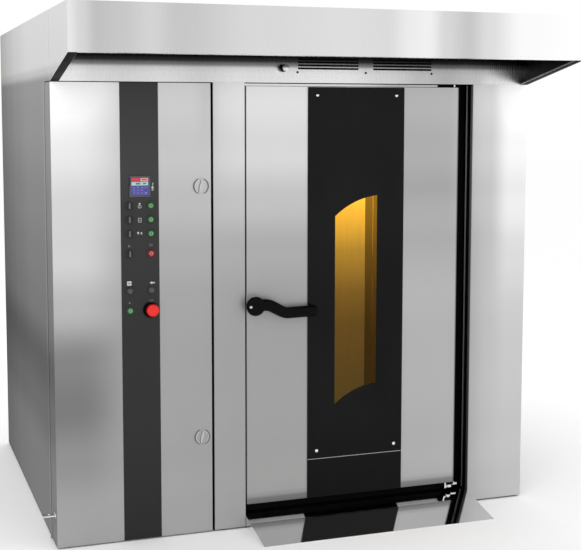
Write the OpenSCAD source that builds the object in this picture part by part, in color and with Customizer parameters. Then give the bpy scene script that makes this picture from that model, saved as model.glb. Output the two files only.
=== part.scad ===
// Rotating rack oven: a free-standing bakery oven with a machine bay on the left,
// a hinged baking door in the middle and a hood over the front.
// X runs to the right, Y to the back and Z up. The origin is on the floor, under
// the middle of the body. Inside the modules Y is counted from the front face of
// the body, and place() moves that to the middle of the footprint.

/* [Body] */
// Width of the body
body_w = 2400; // [2340:10:2600]
// Depth of the body without the hood
body_d = 1900; // [1860:10:2200]
// Height of the body
body_h = 2440; // [2440:10:2600]
// Height of the top fascia, over the seam of the front panels
fascia_h = 310; // [300:5:350]
// Gap between the floor and the panels' lower edges
panel_foot = 8; // [4:1:20]
// Thickness of the sheet metal
sheet = 2; // [1.5:0.5:2.5]
// Height of the base frame and its sill
base_h = 60; // [56:1:66]
// How far the base stands back from the front
base_setback = 150; // [145:5:200]
// Width of the members of the base frame
base_member = 60; // [40:5:80]

/* [Front layout, from the left side] */
// Width of the service door
service_w = 738; // [700:2:760]
// Gap between the service door and the post
service_gap = 11; // [6:1:14]
// Width of the post between the two doors
post_w = 153; // [130:1:170]
// Gap between the post and the baking door
door_gap = 8; // [5:1:12]
// Width of the baking door
door_w = 1105; // [1060:5:1120]
// Width of the recess beside the baking door's hinges
recess_w = 80; // [60:1:90]

/* [Baking door] */
// Height of the door's lower edge
door_foot = 116; // [112:1:130]
// Gap over the door
door_top_gap = 17; // [14:1:22]
// Thickness of the door
door_t = 80; // [70:1:80]
// Gap between the door's back and the jamb, filled by the seal
seal_gap = 4; // [4:0.5:6]
// How far the door laps over the edge of the mouth
door_lap = 60; // [50:1:70]
// Height of the rubber sweep under the door
sweep_h = 40; // [30:1:42]
// Distance from the hinge axis to the door's hinge edge
hinge_inset = 16; // [12:1:20]
// Distance from the hinge axis to the door's front face
hinge_depth = 25; // [20:1:30]
// Radius of the hinge pins
hinge_pin_r = 8; // [6:0.5:10]

/* [Glass] */
// Distance from the door's left edge to the glass
glass_inset = 306; // [280:1:330]
// Width of the dark glass
glass_w = 501; // [460:1:520]
// Thickness of the glass
glass_t = 5; // [4:0.5:8]
// Gap between the door's top edge and the glass
glass_top_gap = 2; // [2:1:10]
// Height of the joint between the glass and the plate under it
glass_joint_h = 308; // [280:2:330]
// Distance from the glass's left edge to the window
window_inset = 141; // [120:1:160]
// Width of the window
window_w = 220; // [180:2:240]
// Height of the window along its left edge
window_h = 924; // [800:4:960]
// Height of the window's lower left corner
window_foot = 570; // [520:2:600]
// Radius of the window's curved ends
window_r = 380; // [340:5:420]
// How far the hollow behind the window is wider than the window, on each side
hollow_margin = 37; // [20:1:45]

/* [Door handle] */
// Distance from the door's left edge to the handle's pivot
handle_inset = 30; // [30:1:60]
// Height of the handle's pivot
handle_h = 1083; // [1000:1:1150]
// Radius of the handle's hub
handle_hub_r = 41; // [36:1:44]
// Length of the handle from its pivot to the end of its grip
handle_reach = 310; // [260:5:340]
// Drop from the pivot to the grip
handle_drop = 34; // [20:1:45]
// Radius of the grip
grip_r = 25; // [20:1:28]
// How far the handle stands out from the door
handle_out = 64; // [58:1:75]
// Radius of the handle's spindle
spindle_r = 10; // [8:0.5:12]

/* [Service door] */
// Gap over the service door
service_top_gap = 4; // [2:1:6]
// Depth of the service door's return on the left side
service_return = 140; // [120:1:140]
// Depth of the service door's other returns
service_lip = 40; // [30:1:45]
// Radius of the long hinge's knuckles
knuckle_r = 4; // [3:0.5:5]
// Radius of the long hinge's pin
long_pin_r = 1.5; // [1:0.25:2]
// Number of knuckles of the long hinge
knuckles = 13; // [9:2:21]
// Distance from the service door's right edge to the latches
latch_inset = 49; // [45:1:60]
// Radius of the round latches
latch_r = 38; // [34:1:40]
// Height of the upper latch
latch_high = 1651; // [1500:1:1750]
// Height of the lower latch
latch_low = 467; // [400:1:600]

/* [Controls] */
// Distance from the body's left side to the control strip
strip_inset = 311; // [280:1:330]
// Width of the control strip
strip_w = 178; // [170:1:190]
// Thickness of the control strip
strip_t = 1.5; // [1:0.5:3]
// Distance from the strip's middle to each column of controls
column_off = 50; // [45:1:55]
// Height of the uppermost row of controls
row_top_h = 1568; // [1540:1:1580]
// Distance between the three upper rows
row_pitch = 64; // [56:1:66]
// Drop from the third row to the fourth
low_drop = 92; // [86:1:110]
// Drop from the fourth row to the two grey buttons
grey_drop = 170; // [150:1:200]
// Drop from the grey buttons to the start button and the stop button
start_drop = 91; // [84:1:110]
// Radius of the bezel round each control
bezel_r = 19.5; // [18:0.5:21]
// Radius of a push-button's cap
cap_r = 13; // [10:0.5:14]
// Travel of a push-button
button_travel = 3; // [2:0.5:4]
// Radius of the stop button's head
stop_r = 30; // [25:1:34]
// Travel of the stop button
stop_travel = 5; // [3:0.5:6]
// Side of the square display
display_w = 96; // [90:1:100]
// Rise from the uppermost row of controls to the display's middle
display_rise = 88; // [84:1:110]

/* [Hood] */
// How far the hood stands out over the front
hood_out = 500; // [400:10:600]
// Height of the hood's front
hood_front_h = 208; // [180:2:240]
// Width of the gutter round the hood's lower edge
gutter_w = 40; // [30:1:60]

/* [Louvres and damper] */
// Distance from the baking door's left edge to the first group of louvres
louvre_inset = 256; // [240:2:280]
// Length of a louvre slot
louvre_l = 309; // [280:2:320]
// Space between the two groups of louvres
louvre_space = 77; // [60:1:90]
// Height of a louvre slot
louvre_h = 6; // [4:0.5:8]
// Distance between louvre slots
louvre_pitch = 14.5; // [12:0.5:18]
// Number of louvre slots in a group
louvres = 4; // [3:1:6]
// Height of the lowest louvre slot over the seam
louvre_rise = 68; // [60:1:80]
// Distance from the first louvre to the damper knob
damper_off = 76; // [60:1:90]
// Radius of the damper knob
knob_r = 17.5; // [14:0.5:20]
// How far the damper knob stands out
knob_out = 60; // [50:1:65]
// Radius of the damper's rod
rod_r = 8; // [6:0.5:9]
// Outer radius of the steam pipe
steam_r = 82; // [75:1:90]
// Distance from the front to the steam pipe's axis
steam_y = 300; // [260:5:400]
// Height of the steam collar over the roof
steam_rise = 60; // [50:1:70]

/* [Ramp] */
// Length of the ramp in front of the body
ramp_l = 280; // [240:5:320]
// Thickness of the ramp's plate
ramp_t = 3; // [2:0.5:5]
// Number of bays under the ramp
ramp_bays = 6; // [5:1:8]

/* [Baking chamber] */
// Thickness of the insulation
insulation_t = 100; // [90:1:105]
// Thickness of the jamb round the mouth
jamb_t = 6; // [4:0.5:8]
// Distance from the seam down to the chamber's ceiling
ceiling_drop = 50; // [45:1:60]
// Width of the hot-air column on the right
column_w = 165; // [140:5:180]
// Depth of the plenum behind the chamber
plenum_d = 364; // [350:2:380]
// Width of an air slot
slot_w = 12; // [8:1:16]
// Height of an air slot
slot_h = 380; // [300:10:400]
// Distance between air slots
slot_pitch = 80; // [70:1:100]
// Number of air slots over each other
slot_rows = 4; // [3:1:4]

/* [Turning gear] */
// Radius of the turntable
table_r = 550; // [450:10:600]
// Thickness of the turntable
table_t = 4; // [3:0.5:6]
// Gap between the chamber floor and the turntable
table_gap = 4; // [3:0.5:6]
// Height of the guides for the trolley's wheels
guide_h = 15; // [10:1:20]
// Radius of the turntable's spindle
table_pin_r = 20; // [16:1:25]
// Radius of the hanger's shaft
shaft_r = 25; // [20:1:30]
// Half the span of the hanger's arm
hanger_reach = 350; // [300:10:400]
// Pitch of the chain
chain_pitch = 19.05; // [15.875:3.175:25.4]
// Teeth of the driven sprocket
driven_teeth = 38; // [30:1:44]
// Teeth of the drive sprocket
drive_teeth = 19; // [15:1:21]
// Distance between the two sprockets
chain_span = 410; // [400:5:440]
// Thickness of the sprockets
sprocket_t = 10; // [8:0.5:11]
// Radius of the gearmotor's output shaft
output_r = 15; // [12:0.5:20]

/* [Hot air, steam and fire] */
// Radius of the circulation fan
fan_r = 160; // [140:2:165]
// Height of the fan's blades
fan_h = 90; // [70:2:110]
// Number of fan blades
fan_blades = 10; // [8:1:14]
// Radius of the fan's shaft
fan_shaft_r = 12; // [10:0.5:16]
// Radius of an exchanger tube
tube_r = 30; // [24:1:34]
// Number of exchanger tubes side by side
tube_cols = 7; // [5:1:7]
// Number of rows of exchanger tubes
tube_rows = 3; // [2:1:3]
// Distance between exchanger tubes
tube_pitch = 90; // [80:1:92]
// Outer radius of the flue collar
flue_r = 100; // [90:1:110]
// Height of the flue collar over the roof
flue_rise = 120; // [80:5:140]
// Radius of the combustion drum
drum_r = 190; // [160:2:200]
// Length of the combustion drum
drum_l = 880; // [800:10:900]
// Radius of the water inlet's thread
water_r = 10.5; // [8:0.5:14]
// How far the water inlet stands out at the back
water_out = 40; // [30:1:60]

/* [Clearances] */
// Radial clearance of a turning or sliding fit
fit = 0.05; // [0.02:0.01:0.1]
// Clearance between pieces that pass close to each other
clear = 0.3; // [0.2:0.1:0.5]
// Clearance of a pipe or shaft in a hole that doesn't carry it
loose = 3; // [2:0.5:4]

/* [Hidden] */
$fn = 64;
cut = 1;

// Front layout, from left to right
x_left = -body_w / 2;
x_right = body_w / 2;
service_x1 = x_left + service_w;
post_x0 = service_x1 + service_gap;
post_x1 = post_x0 + post_w;
door_x0 = post_x1 + door_gap;
door_x1 = door_x0 + door_w;
recess_x1 = door_x1 + recess_w;

// Heights and depths of the front
seam_h = body_h - fascia_h;
door_z1 = seam_h - door_top_gap;
service_z1 = seam_h - service_top_gap;
jamb_y0 = door_t + seal_gap;
jamb_y1 = jamb_y0 + jamb_t;
roof_z = body_h - sheet;
floor_z = base_h + sheet;

// The jamb's mouth
mouth_x0 = door_x0 + door_lap;
mouth_x1 = door_x1 - door_lap;
mouth_z1 = door_z1 - door_lap;

// Liner of the chamber and its plenum: inner faces
liner_x0 = post_x0 + insulation_t + sheet;
liner_x1 = x_right - sheet - insulation_t - sheet;
liner_y1 = body_d - sheet - insulation_t - sheet;
ceiling_z = seam_h - ceiling_drop;
chamber_x1 = liner_x1 - column_w - sheet;
chamber_y1 = liner_y1 - plenum_d - sheet;
chamber_y0 = jamb_y1;
deck_z0 = ceiling_z + sheet + insulation_t;
deck_t = 3;
deck_z1 = deck_z0 + deck_t;
plenum_y = liner_y1 - plenum_d / 2;

// Turning gear
table_x = (liner_x0 + chamber_x1) / 2;
table_y = (chamber_y0 + chamber_y1) / 2;
table_z0 = floor_z + table_gap;
table_z1 = table_z0 + table_t;
seat_z = 10;
table_bearing_r = 80;
bearing_top = 120;
bearing_r = 60;
sprocket_hub = 16;
sprocket_z0 = deck_z1 + bearing_top + clear + sprocket_hub;
sprocket_z1 = sprocket_z0 + sprocket_t;
drive_x = table_x - chain_span;
tooth_h = 6;
hanger_drop = 120;
hanger_arm_t = 20;
hook_drop = 70;
gearbox_w = 150;
gearbox_h = 110;
gear_motor_r = 50;
gear_motor_l = 220;
guide_gap = 36;
guide_t = 4;
guide_span = 496;
guide_l = 800;
bearing_foot_w = 180;
bearing_foot_t = 16;
hanger_arm_w = 60;
hook_t = 12;
hook_l = 40;

// Hot air, steam and fire
exchanger_inset = 430;
exchanger_x = liner_x0 + exchanger_inset;
exchanger_wall = 3;
header_margin = 10;
exchanger_w = (tube_cols - 1) * tube_pitch + 2 * (tube_r + header_margin);
exchanger_d = (tube_rows - 1) * tube_pitch + 2 * (tube_r + header_margin);
header_foot_inset = 30;
header_foot_w = 40;
header_z = 300;
header_h = 160;
tube_top = 1640;
fan_inset = 320;
fan_drop = 170;
fan_x = chamber_x1 - fan_inset;
fan_z = ceiling_z - fan_drop;
fan_plate_t = 4;
fan_hub_wall = 18;
blade_t = 4;
blade_inset = 4;
blade_lap = 3;
fan_shaft_in = 80;
fan_motor_r = 85;
fan_motor_l = 220;
fan_flange_w = 30;
fan_flange_t = 12;
generator_inset = 80;
generator_x = chamber_x1 - generator_inset;
generator_w = 110;
generator_d = 260;
generator_z0 = 300;
generator_z1 = 1500;
water_rise = 60;
water_h = generator_z1 + water_rise;
gland_h = 1900;
gland_r = 20;
drum_x = (x_left + post_x0) / 2 + 5;
drum_z = 520;
drum_inset = 180;
drum_y1 = liner_y1 - drum_inset;
drum_y0 = drum_y1 - drum_l;
saddle_w = 240;
saddle_t = 40;
saddle_inset = 120;
duct_d = 100;
duct_h = 120;
duct_rise = 20;
burner_w = 240;
burner_d = 230;
burner_low = 120;
burner_high = 100;
burner_tube_r = 60;
burner_tube_l = 140;
burner_tube_in = 60;
burner_flange_w = 40;
burner_flange_t = 12;
burner_fan_r = 70;
burner_fan_l = 90;
board_y = 300;
board_t = 3;
board_margin = 90;
board_z0 = 1000;
board_h = 900;
switch_w = 70;
switch_h = 110;
switch_pitch = 85;
switch_row = 260;
switch_margin = 120;
lamp_w = 40;
lamp_d = 60;
lamp_z0 = 900;
lamp_l = 600;
baffle_reach = 200;
slot_margin = 90;

// Baking door
hinge_x = door_x1 - hinge_inset;
hinge_y = hinge_depth;
arm_t = 4;
pin_l = 9;
bracket_t = 10;
foot_drop = 26;
bracket_y0 = 5;
top_bracket_reach = 90;
top_bracket_edge = 30;
foot_bracket_reach = 16;
foot_bracket_edge = 50;
arm_reach = 100;
foot_arm_reach = 55;
arm_y1 = 60;
arm_inset = 2;
glass_x0 = door_x0 + glass_inset;
glass_x1 = glass_x0 + glass_w;
glass_z1 = door_z1 - glass_top_gap;
window_x0 = glass_x0 + window_inset;
window_x1 = window_x0 + window_w;
window_z0 = window_foot;
// The window's ends are arcs whose centres lie a little past its right edge
arc_x = window_x1 + 35;
arc_rise = sqrt(pow(window_r, 2) - pow(arc_x - window_x0, 2));
hollow_z0 = window_z0 - hollow_margin;
hollow_z1 = window_z0 + window_h + window_r - arc_rise + hollow_margin;
hollow_x0 = window_x0 - hollow_margin;
hollow_x1 = window_x1 + hollow_margin;
pane_t = 4;
pane_lap = 10;
handle_x = door_x0 + handle_inset;
rosette_t = 8;
rosette_w = 58;
rosette_h = 90;
boss_r = 18;
boss_l = 30;

// Service door
long_hinge_x = x_left - knuckle_r - 0.5;
long_hinge_y = service_return + 2;
leaf_t = 1.2;
leaf_w = 20;
side_y0 = service_return + 4;
latch_x = service_x1 - latch_inset;
latch_hs = [latch_high, latch_low];
latch_flange = 2;
latch_bowl = 12;
latch_depth = 16;
cam_l = latch_inset + service_gap + 14;
cam_w = 20;
cam_t = 4;
cam_y = 20;

// Controls
strip_x0 = x_left + strip_inset;
strip_x1 = strip_x0 + strip_w;
strip_x = (strip_x0 + strip_x1) / 2;
left_col = strip_x - column_off;
right_col = strip_x + column_off;
row_low_h = row_top_h - 2 * row_pitch - low_drop;
row_grey_h = row_low_h - grey_drop;
row_start_h = row_grey_h - start_drop;
display_h = row_top_h + display_rise;
selector_hs = [row_top_h, row_top_h - row_pitch, row_top_h - 2 * row_pitch, row_low_h];
button_spots = [
    for (h = selector_hs) [right_col, h],
    [left_col, row_grey_h],
    [right_col, row_grey_h],
    [left_col, row_start_h]
];
stop_spot = [right_col, row_start_h];
control_spots = concat([for (h = selector_hs) [left_col, h]], button_spots, [stop_spot]);
barrel_r = cap_r + 2;
barrel_l = 14;
bezel_t = 5;
cap_out = button_travel + 1;
cap_in = 6;
block_w = 30;
block_l = 36;
housing_w = display_w - 6;
display_out = 5.5;
housing_l = 60;
lug_y = 40;
lug_z = 150;

// Roof and fascia
louvre_x = door_x0 + louvre_inset;
damper_x = louvre_x - damper_off;
damper_z = seam_h + louvre_rise;
pipe_t = 2;
flange_t = 3;
collar_flange = 30;

// Moves the front face from Y = 0 to its place before the middle of the footprint
module place() {
    translate([0, -body_d / 2, 0]) children();
}

// Box between two corners
module block(x0, x1, y0, y1, z0, z1) {
    translate([x0, y0, z0]) cube([x1 - x0, y1 - y0, z1 - z0]);
}

// Cylinders along each axis
module rod_x(y, z, r, x0, x1) {
    translate([x0, y, z]) rotate([0, 90, 0]) cylinder(r = r, h = x1 - x0);
}

module rod_y(x, z, r, y0, y1) {
    translate([x, y1, z]) rotate([90, 0, 0]) cylinder(r = r, h = y1 - y0);
}

module rod_z(x, y, r, z0, z1) {
    translate([x, y, z0]) cylinder(r = r, h = z1 - z0);
}

// Solid with an outline drawn in X and Z, between two depths
module front_extrude(y0, y1) {
    translate([0, y1, 0]) rotate([90, 0, 0]) linear_extrude(height = y1 - y0) children();
}

// Solid with an outline drawn in Y and Z, between two X positions
module side_extrude(x0, x1) {
    translate([x0, 0, 0]) rotate([90, 0, 90]) linear_extrude(height = x1 - x0) children();
}

// ---- Base and casing ----

// Pockets under the base: the columns and rows leave a member at X = 0
base_cols = 6;
base_rows = 5;
base_x0 = x_left + sheet;
base_y1 = body_d - sheet - 8;
bay_w = (-2 * base_x0 - (base_cols + 1) * base_member) / base_cols;
bay_d = (base_y1 - base_setback - (base_rows + 1) * base_member) / base_rows;
base_top_t = 3;

module base_bays(z0, z1) {
    for (i = [0 : base_cols - 1], j = [0 : base_rows - 1]) {
        translate([base_x0 + base_member + i * (bay_w + base_member),
                   base_setback + base_member + j * (bay_d + base_member), z0])
            cube([bay_w, bay_d, z1 - z0]);
    }
}

sill_bays = 6;
sill_wall = 12;
sill_bay_w = (recess_x1 - post_x1 - (sill_bays + 1) * sill_wall) / sill_bays;

module base_frame() {
    place() color("dimgray") difference() {
        union() {
            block(base_x0, -base_x0, base_setback, base_y1, 0, base_h);
            block(post_x1, recess_x1, 0, base_setback, 0, base_h);
        }
        difference() {
            base_bays(-cut, base_h - base_top_t);
            rod_z(table_x, table_y, table_bearing_r + 15, -cut, base_h);
        }
        for (i = [0 : sill_bays - 1])
            translate([post_x1 + sill_wall + i * (sill_bay_w + sill_wall), sill_wall, -cut])
                cube([sill_bay_w, base_setback - sill_wall, base_h - base_top_t + cut]);
        rod_z(table_x, table_y, table_bearing_r + clear, seat_z, base_h + cut);
    }
}

// Left side: the upper part comes forward to the fascia, over the service door's return
module side_panels() {
    place() color("lightgray") {
        side_extrude(x_left, x_left + sheet)
            polygon([[side_y0, panel_foot], [body_d - sheet, panel_foot],
                     [body_d - sheet, roof_z], [sheet, roof_z], [sheet, seam_h],
                     [side_y0, seam_h]]);
        block(x_right - sheet, x_right, sheet, body_d - sheet, panel_foot, roof_z);
    }
}

module rear_panel() {
    place() color("gray") difference() {
        block(x_left, x_right, body_d - sheet, body_d, panel_foot, roof_z);
        rod_y(generator_x, water_h, water_r + loose, body_d - sheet - cut, body_d + cut);
        rod_y(generator_x, gland_h, gland_r + clear, body_d - sheet - cut, body_d + cut);
    }
}

module roof_panel() {
    place() color("silver") difference() {
        block(x_left, x_right, 0, body_d, roof_z, body_h);
        rod_z(exchanger_x, plenum_y, flue_r - pipe_t + clear, roof_z - cut, body_h + cut);
        rod_z(damper_x, steam_y, steam_r - pipe_t + clear, roof_z - cut, body_h + cut);
    }
}

// Folded channel: a front sheet with a return on each side
module pillar(x0, x1) {
    block(x0, x1, 0, sheet, panel_foot, seam_h);
    block(x0, x0 + sheet, 0, jamb_y0, panel_foot, seam_h);
    block(x1 - sheet, x1, sheet, jamb_y0, panel_foot, seam_h);
}

// Slots in a return, tall enough for the latches' cams to swing through
module latch_slots(x) {
    for (h = latch_hs)
        block(x - cut, x + sheet + cut, cam_y - loose, cam_y + cam_t + loose,
              h - cam_w / 2 - loose, h + cam_l);
}

module front_pillars() {
    place() color("silver") {
        difference() {
            pillar(post_x0, post_x1);
            latch_slots(post_x0);
        }
        block(recess_x1, x_right, 0, sheet, panel_foot, seam_h);
        block(recess_x1, recess_x1 + sheet, sheet, jamb_y0, panel_foot, seam_h);
    }
}

module top_fascia() {
    place() color("silver") difference() {
        union() {
            block(x_left, x_right, 0, sheet, seam_h, roof_z);
            block(post_x0, x_right - sheet, sheet, jamb_y0, seam_h, seam_h + sheet);
        }
        for (g = [0, 1], i = [0 : louvres - 1])
            translate([louvre_x + g * (louvre_l + louvre_space), -cut,
                       seam_h + louvre_rise - louvre_h / 2 + i * louvre_pitch])
                cube([louvre_l, sheet + 2 * cut, louvre_h]);
        rod_y(damper_x, damper_z, rod_r + fit, -cut, sheet + cut);
    }
}

// Hood over the front: top, front and slanted cheeks, with a gutter round the open underside
hood_z0 = body_h - hood_front_h;

module cheek_outline(inset_low) {
    polygon([[-hood_out, hood_z0 + inset_low], [-hood_out, body_h - sheet],
             [0, body_h - sheet], [0, seam_h + inset_low]]);
}

module hood_canopy() {
    place() color("lightgray") {
        block(x_left, x_right, -hood_out, 0, roof_z, body_h);
        block(x_left, x_right, -hood_out, -hood_out + sheet, hood_z0, roof_z);
        for (x = [x_left, x_right - sheet])
            side_extrude(x, x + sheet) cheek_outline(0);
        for (x = [x_left + sheet, x_right - sheet - gutter_w])
            side_extrude(x, x + gutter_w)
                polygon([[-hood_out + sheet, hood_z0], [0, seam_h],
                         [0, seam_h + sheet], [-hood_out + sheet, hood_z0 + sheet]]);
        block(x_left + sheet, x_right - sheet, -hood_out + sheet,
              -hood_out + gutter_w, hood_z0, hood_z0 + sheet);
    }
}

// Sheet ramp on ribs, which meets the sill
module ramp() {
    rib_pitch = (recess_x1 - post_x1 - 2 * ramp_t) / ramp_bays;
    place() color("silver") {
        side_extrude(post_x1 + ramp_t, recess_x1 - ramp_t)
            polygon([[-ramp_l, 0], [0, base_h - ramp_t], [0, base_h], [-ramp_l, ramp_t]]);
        for (i = [0 : ramp_bays])
            translate([i * rib_pitch, 0, 0])
                side_extrude(post_x1 + ramp_t / 2, post_x1 + ramp_t * 1.5)
                    polygon([[-ramp_l, 0], [0, 0], [0, base_h], [-ramp_l, ramp_t]]);
    }
}

// ---- Baking chamber ----

// Flat frame round the mouth, with the carriers of the door's two pivots left clear
module door_jamb() {
    place() color("dimgray") difference() {
        block(post_x0, x_right - sheet, jamb_y0, jamb_y1, base_h, deck_z0);
        block(mouth_x0, mouth_x1, jamb_y0 - cut, jamb_y1 + cut, base_h - cut, mouth_z1);
    }
}

// Welded box round the chamber, the plenum and the hot-air column, open to the front
module chamber_liner() {
    place() color("gainsboro") difference() {
        block(liner_x0 - sheet, liner_x1 + sheet, chamber_y0, liner_y1 + sheet,
              base_h, ceiling_z + sheet);
        block(liner_x0, liner_x1, chamber_y0 - cut, liner_y1, floor_z, ceiling_z);
        rod_z(table_x, table_y, table_bearing_r + clear, base_h - cut, floor_z + cut);
        roof_holes(ceiling_z - cut, ceiling_z + sheet + cut);
        duct_hole(liner_x0 - sheet - cut, liner_x0 + cut);
        rod_y(generator_x, water_h, water_r + loose, liner_y1 - cut, liner_y1 + sheet + cut);
    }
}

// Holes for the shafts and pipes that rise from the chamber
module roof_holes(z0, z1) {
    rod_z(table_x, table_y, shaft_r + loose, z0, z1);
    rod_z(fan_x, plenum_y, fan_shaft_r + loose, z0, z1);
    rod_z(damper_x, steam_y, steam_r + clear, z0, z1);
    rod_z(exchanger_x, plenum_y, flue_r + clear, z0, z1);
}

// Hole for the hot-gas duct between the drum and the exchanger
module duct_hole(x0, x1) {
    block(x0, x1, plenum_y - duct_d / 2 - loose, plenum_y + duct_d / 2 + loose,
          header_z + duct_rise - loose, header_z + duct_rise + duct_h + loose);
}

// Slotted sheets: the column's wall blows, and the rear baffle draws the air back
module air_walls() {
    slot_step = (ceiling_z - floor_z) / slot_rows;
    place() color("gainsboro") {
        difference() {
            block(chamber_x1, chamber_x1 + sheet, chamber_y0, chamber_y1 + sheet,
                  floor_z, ceiling_z);
            for (y = [chamber_y0 + slot_margin : slot_pitch : chamber_y1 - slot_pitch * 0.75],
                 k = [0 : slot_rows - 1])
                block(chamber_x1 - cut, chamber_x1 + sheet + cut, y, y + slot_w,
                      floor_z + (k + 0.5) * slot_step - slot_h / 2,
                      floor_z + (k + 0.5) * slot_step + slot_h / 2);
        }
        difference() {
            block(liner_x0, chamber_x1, chamber_y1, chamber_y1 + sheet, floor_z, ceiling_z);
            for (x = [liner_x0 + slot_margin : slot_pitch : table_x + baffle_reach],
                 k = [0 : slot_rows - 1])
                block(x, x + slot_w, chamber_y1 - cut, chamber_y1 + sheet + cut,
                      floor_z + (k + 0.5) * slot_step - slot_h / 2,
                      floor_z + (k + 0.5) * slot_step + slot_h / 2);
        }
    }
}

// Slabs on the sides, the back and the top of the liner, and blocks in the base
module insulation() {
    place() color("khaki") {
        difference() {
            block(post_x0, x_right - sheet, chamber_y0, body_d - sheet, floor_z, deck_z0);
            block(liner_x0 - sheet, liner_x1 + sheet, chamber_y0 - cut, liner_y1 + sheet,
                  floor_z - cut, ceiling_z + sheet);
            roof_holes(ceiling_z, deck_z0 + cut);
            duct_hole(post_x0 - cut, liner_x0);
            rod_y(generator_x, water_h, water_r + loose, liner_y1, body_d);
            rod_y(generator_x, gland_h, gland_r * 2, liner_y1 + sheet + 40, body_d);
        }
        difference() {
            base_bays(base_top_t, base_h - base_top_t);
            rod_z(table_x, table_y, table_bearing_r + 15, 0, base_h);
        }
    }
}

module drive_deck() {
    place() color("silver") difference() {
        block(post_x0, x_right - sheet, jamb_y0, body_d - sheet, deck_z0, deck_z1);
        roof_holes(deck_z0 - cut, deck_z1 + cut);
    }
}

module chamber_lamp() {
    place() color("gold")
        block(liner_x0, liner_x0 + lamp_w, chamber_y0 + 10, chamber_y0 + 10 + lamp_d,
              lamp_z0, lamp_z0 + lamp_l);
}

// ---- Turning gear ----

module turntable() {
    place() color("darkgray") {
        rod_z(table_x, table_y, table_r, table_z0, table_z1);
        rod_z(table_x, table_y, table_pin_r + 30, floor_z + clear, table_z0);
        rod_z(table_x, table_y, table_pin_r, seat_z + 4, floor_z + clear);
        for (s = [-1, 1], e = [-1, 1])
            translate([table_x + s * guide_span / 2 + e * (guide_gap + guide_t) / 2, table_y,
                       table_z1 + guide_h / 2])
                cube([guide_t, guide_l, guide_h], center = true);
    }
}

// Foot bearing of the turntable, and flanged bearing of the hanger on the deck
module rotation_bearings() {
    place() color("slategray") {
        difference() {
            rod_z(table_x, table_y, table_bearing_r, seat_z, floor_z);
            rod_z(table_x, table_y, table_pin_r + fit, seat_z + 2, floor_z + cut);
        }
        difference() {
            union() {
                block(table_x - bearing_foot_w / 2, table_x + bearing_foot_w / 2,
                      table_y - bearing_foot_w / 2, table_y + bearing_foot_w / 2,
                      deck_z1, deck_z1 + bearing_foot_t);
                rod_z(table_x, table_y, bearing_r, deck_z1 + bearing_foot_t, deck_z1 + bearing_top);
            }
            rod_z(table_x, table_y, shaft_r + fit, deck_z1 - cut, deck_z1 + bearing_top + cut);
        }
    }
}

// Shaft with a cross arm that ends in two hooks for the trolley's top
module hanger() {
    arm_z = ceiling_z - hanger_drop;
    place() color("silver") {
        rod_z(table_x, table_y, shaft_r, arm_z + hanger_arm_t, sprocket_z1 + 14);
        block(table_x - hanger_reach, table_x + hanger_reach, table_y - hanger_arm_w / 2,
              table_y + hanger_arm_w / 2, arm_z, arm_z + hanger_arm_t);
        for (s = [-1, 1]) {
            translate([table_x + s * (hanger_reach - hook_t / 2), table_y, arm_z - hook_drop / 2])
                cube([hook_t, hanger_arm_w, hook_drop], center = true);
            translate([table_x + s * (hanger_reach - hook_t / 2 - hook_l * 0.6), table_y,
                       arm_z - hook_drop + hook_t / 2])
                cube([hook_l, hanger_arm_w, hook_t], center = true);
        }
    }
}

function pitch_r(teeth) = chain_pitch / (2 * sin(180 / teeth));

// Toothed disc with its hub under it, or over it
module sprocket(x, teeth, bore_r, hub_z0, hub_z1) {
    r = pitch_r(teeth);
    translate([x, table_y, 0]) difference() {
        union() {
            translate([0, 0, sprocket_z0]) linear_extrude(height = sprocket_t) {
                circle(r = r - tooth_h);
                for (i = [0 : teeth - 1])
                    rotate(i * 360 / teeth)
                        polygon([[r - tooth_h - 1, -4.5], [r + tooth_h, -1.8],
                                 [r + tooth_h, 1.8], [r - tooth_h - 1, 4.5]]);
            }
            translate([0, 0, hub_z0]) cylinder(r = bore_r + 15, h = hub_z1 - hub_z0);
        }
        translate([0, 0, hub_z0 - cut]) cylinder(r = bore_r, h = hub_z1 - hub_z0 + 2 * cut);
    }
}

module driven_sprocket() {
    place() color("dimgray")
        sprocket(table_x, driven_teeth, shaft_r, sprocket_z0 - sprocket_hub, sprocket_z1);
}

// The drive sprocket turns with the gearbox's output shaft
module drive_sprocket() {
    place() color("dimgray") {
        sprocket(drive_x, drive_teeth, output_r, sprocket_z0, sprocket_z1 + 14);
        rod_z(drive_x, table_y, output_r, deck_z1 + 30, sprocket_z1 + 14);
    }
}

// Band of a given width along the chain's loop
module chain_loop(width) {
    big = pitch_r(driven_teeth);
    small = pitch_r(drive_teeth);
    // Slant of the two straight runs
    lean = asin((big - small) / chain_span);
    difference() {
        loop_outline(big + width / 2, small + width / 2, lean);
        loop_outline(big - width / 2, small - width / 2, lean);
    }
}

// Two discs joined by runs, which lie a hair inside the tangents to cut each disc cleanly
module loop_outline(big, small, lean) {
    skim = 0.1;
    near = big - skim;
    far = small - skim;
    circle(r = big);
    translate([-chain_span, 0]) circle(r = small);
    polygon([
        [-near * sin(lean), near * cos(lean)],
        [-chain_span - far * sin(lean), far * cos(lean)],
        [-chain_span - far * sin(lean), -far * cos(lean)],
        [-near * sin(lean), -near * cos(lean)]
    ]);
}

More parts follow.
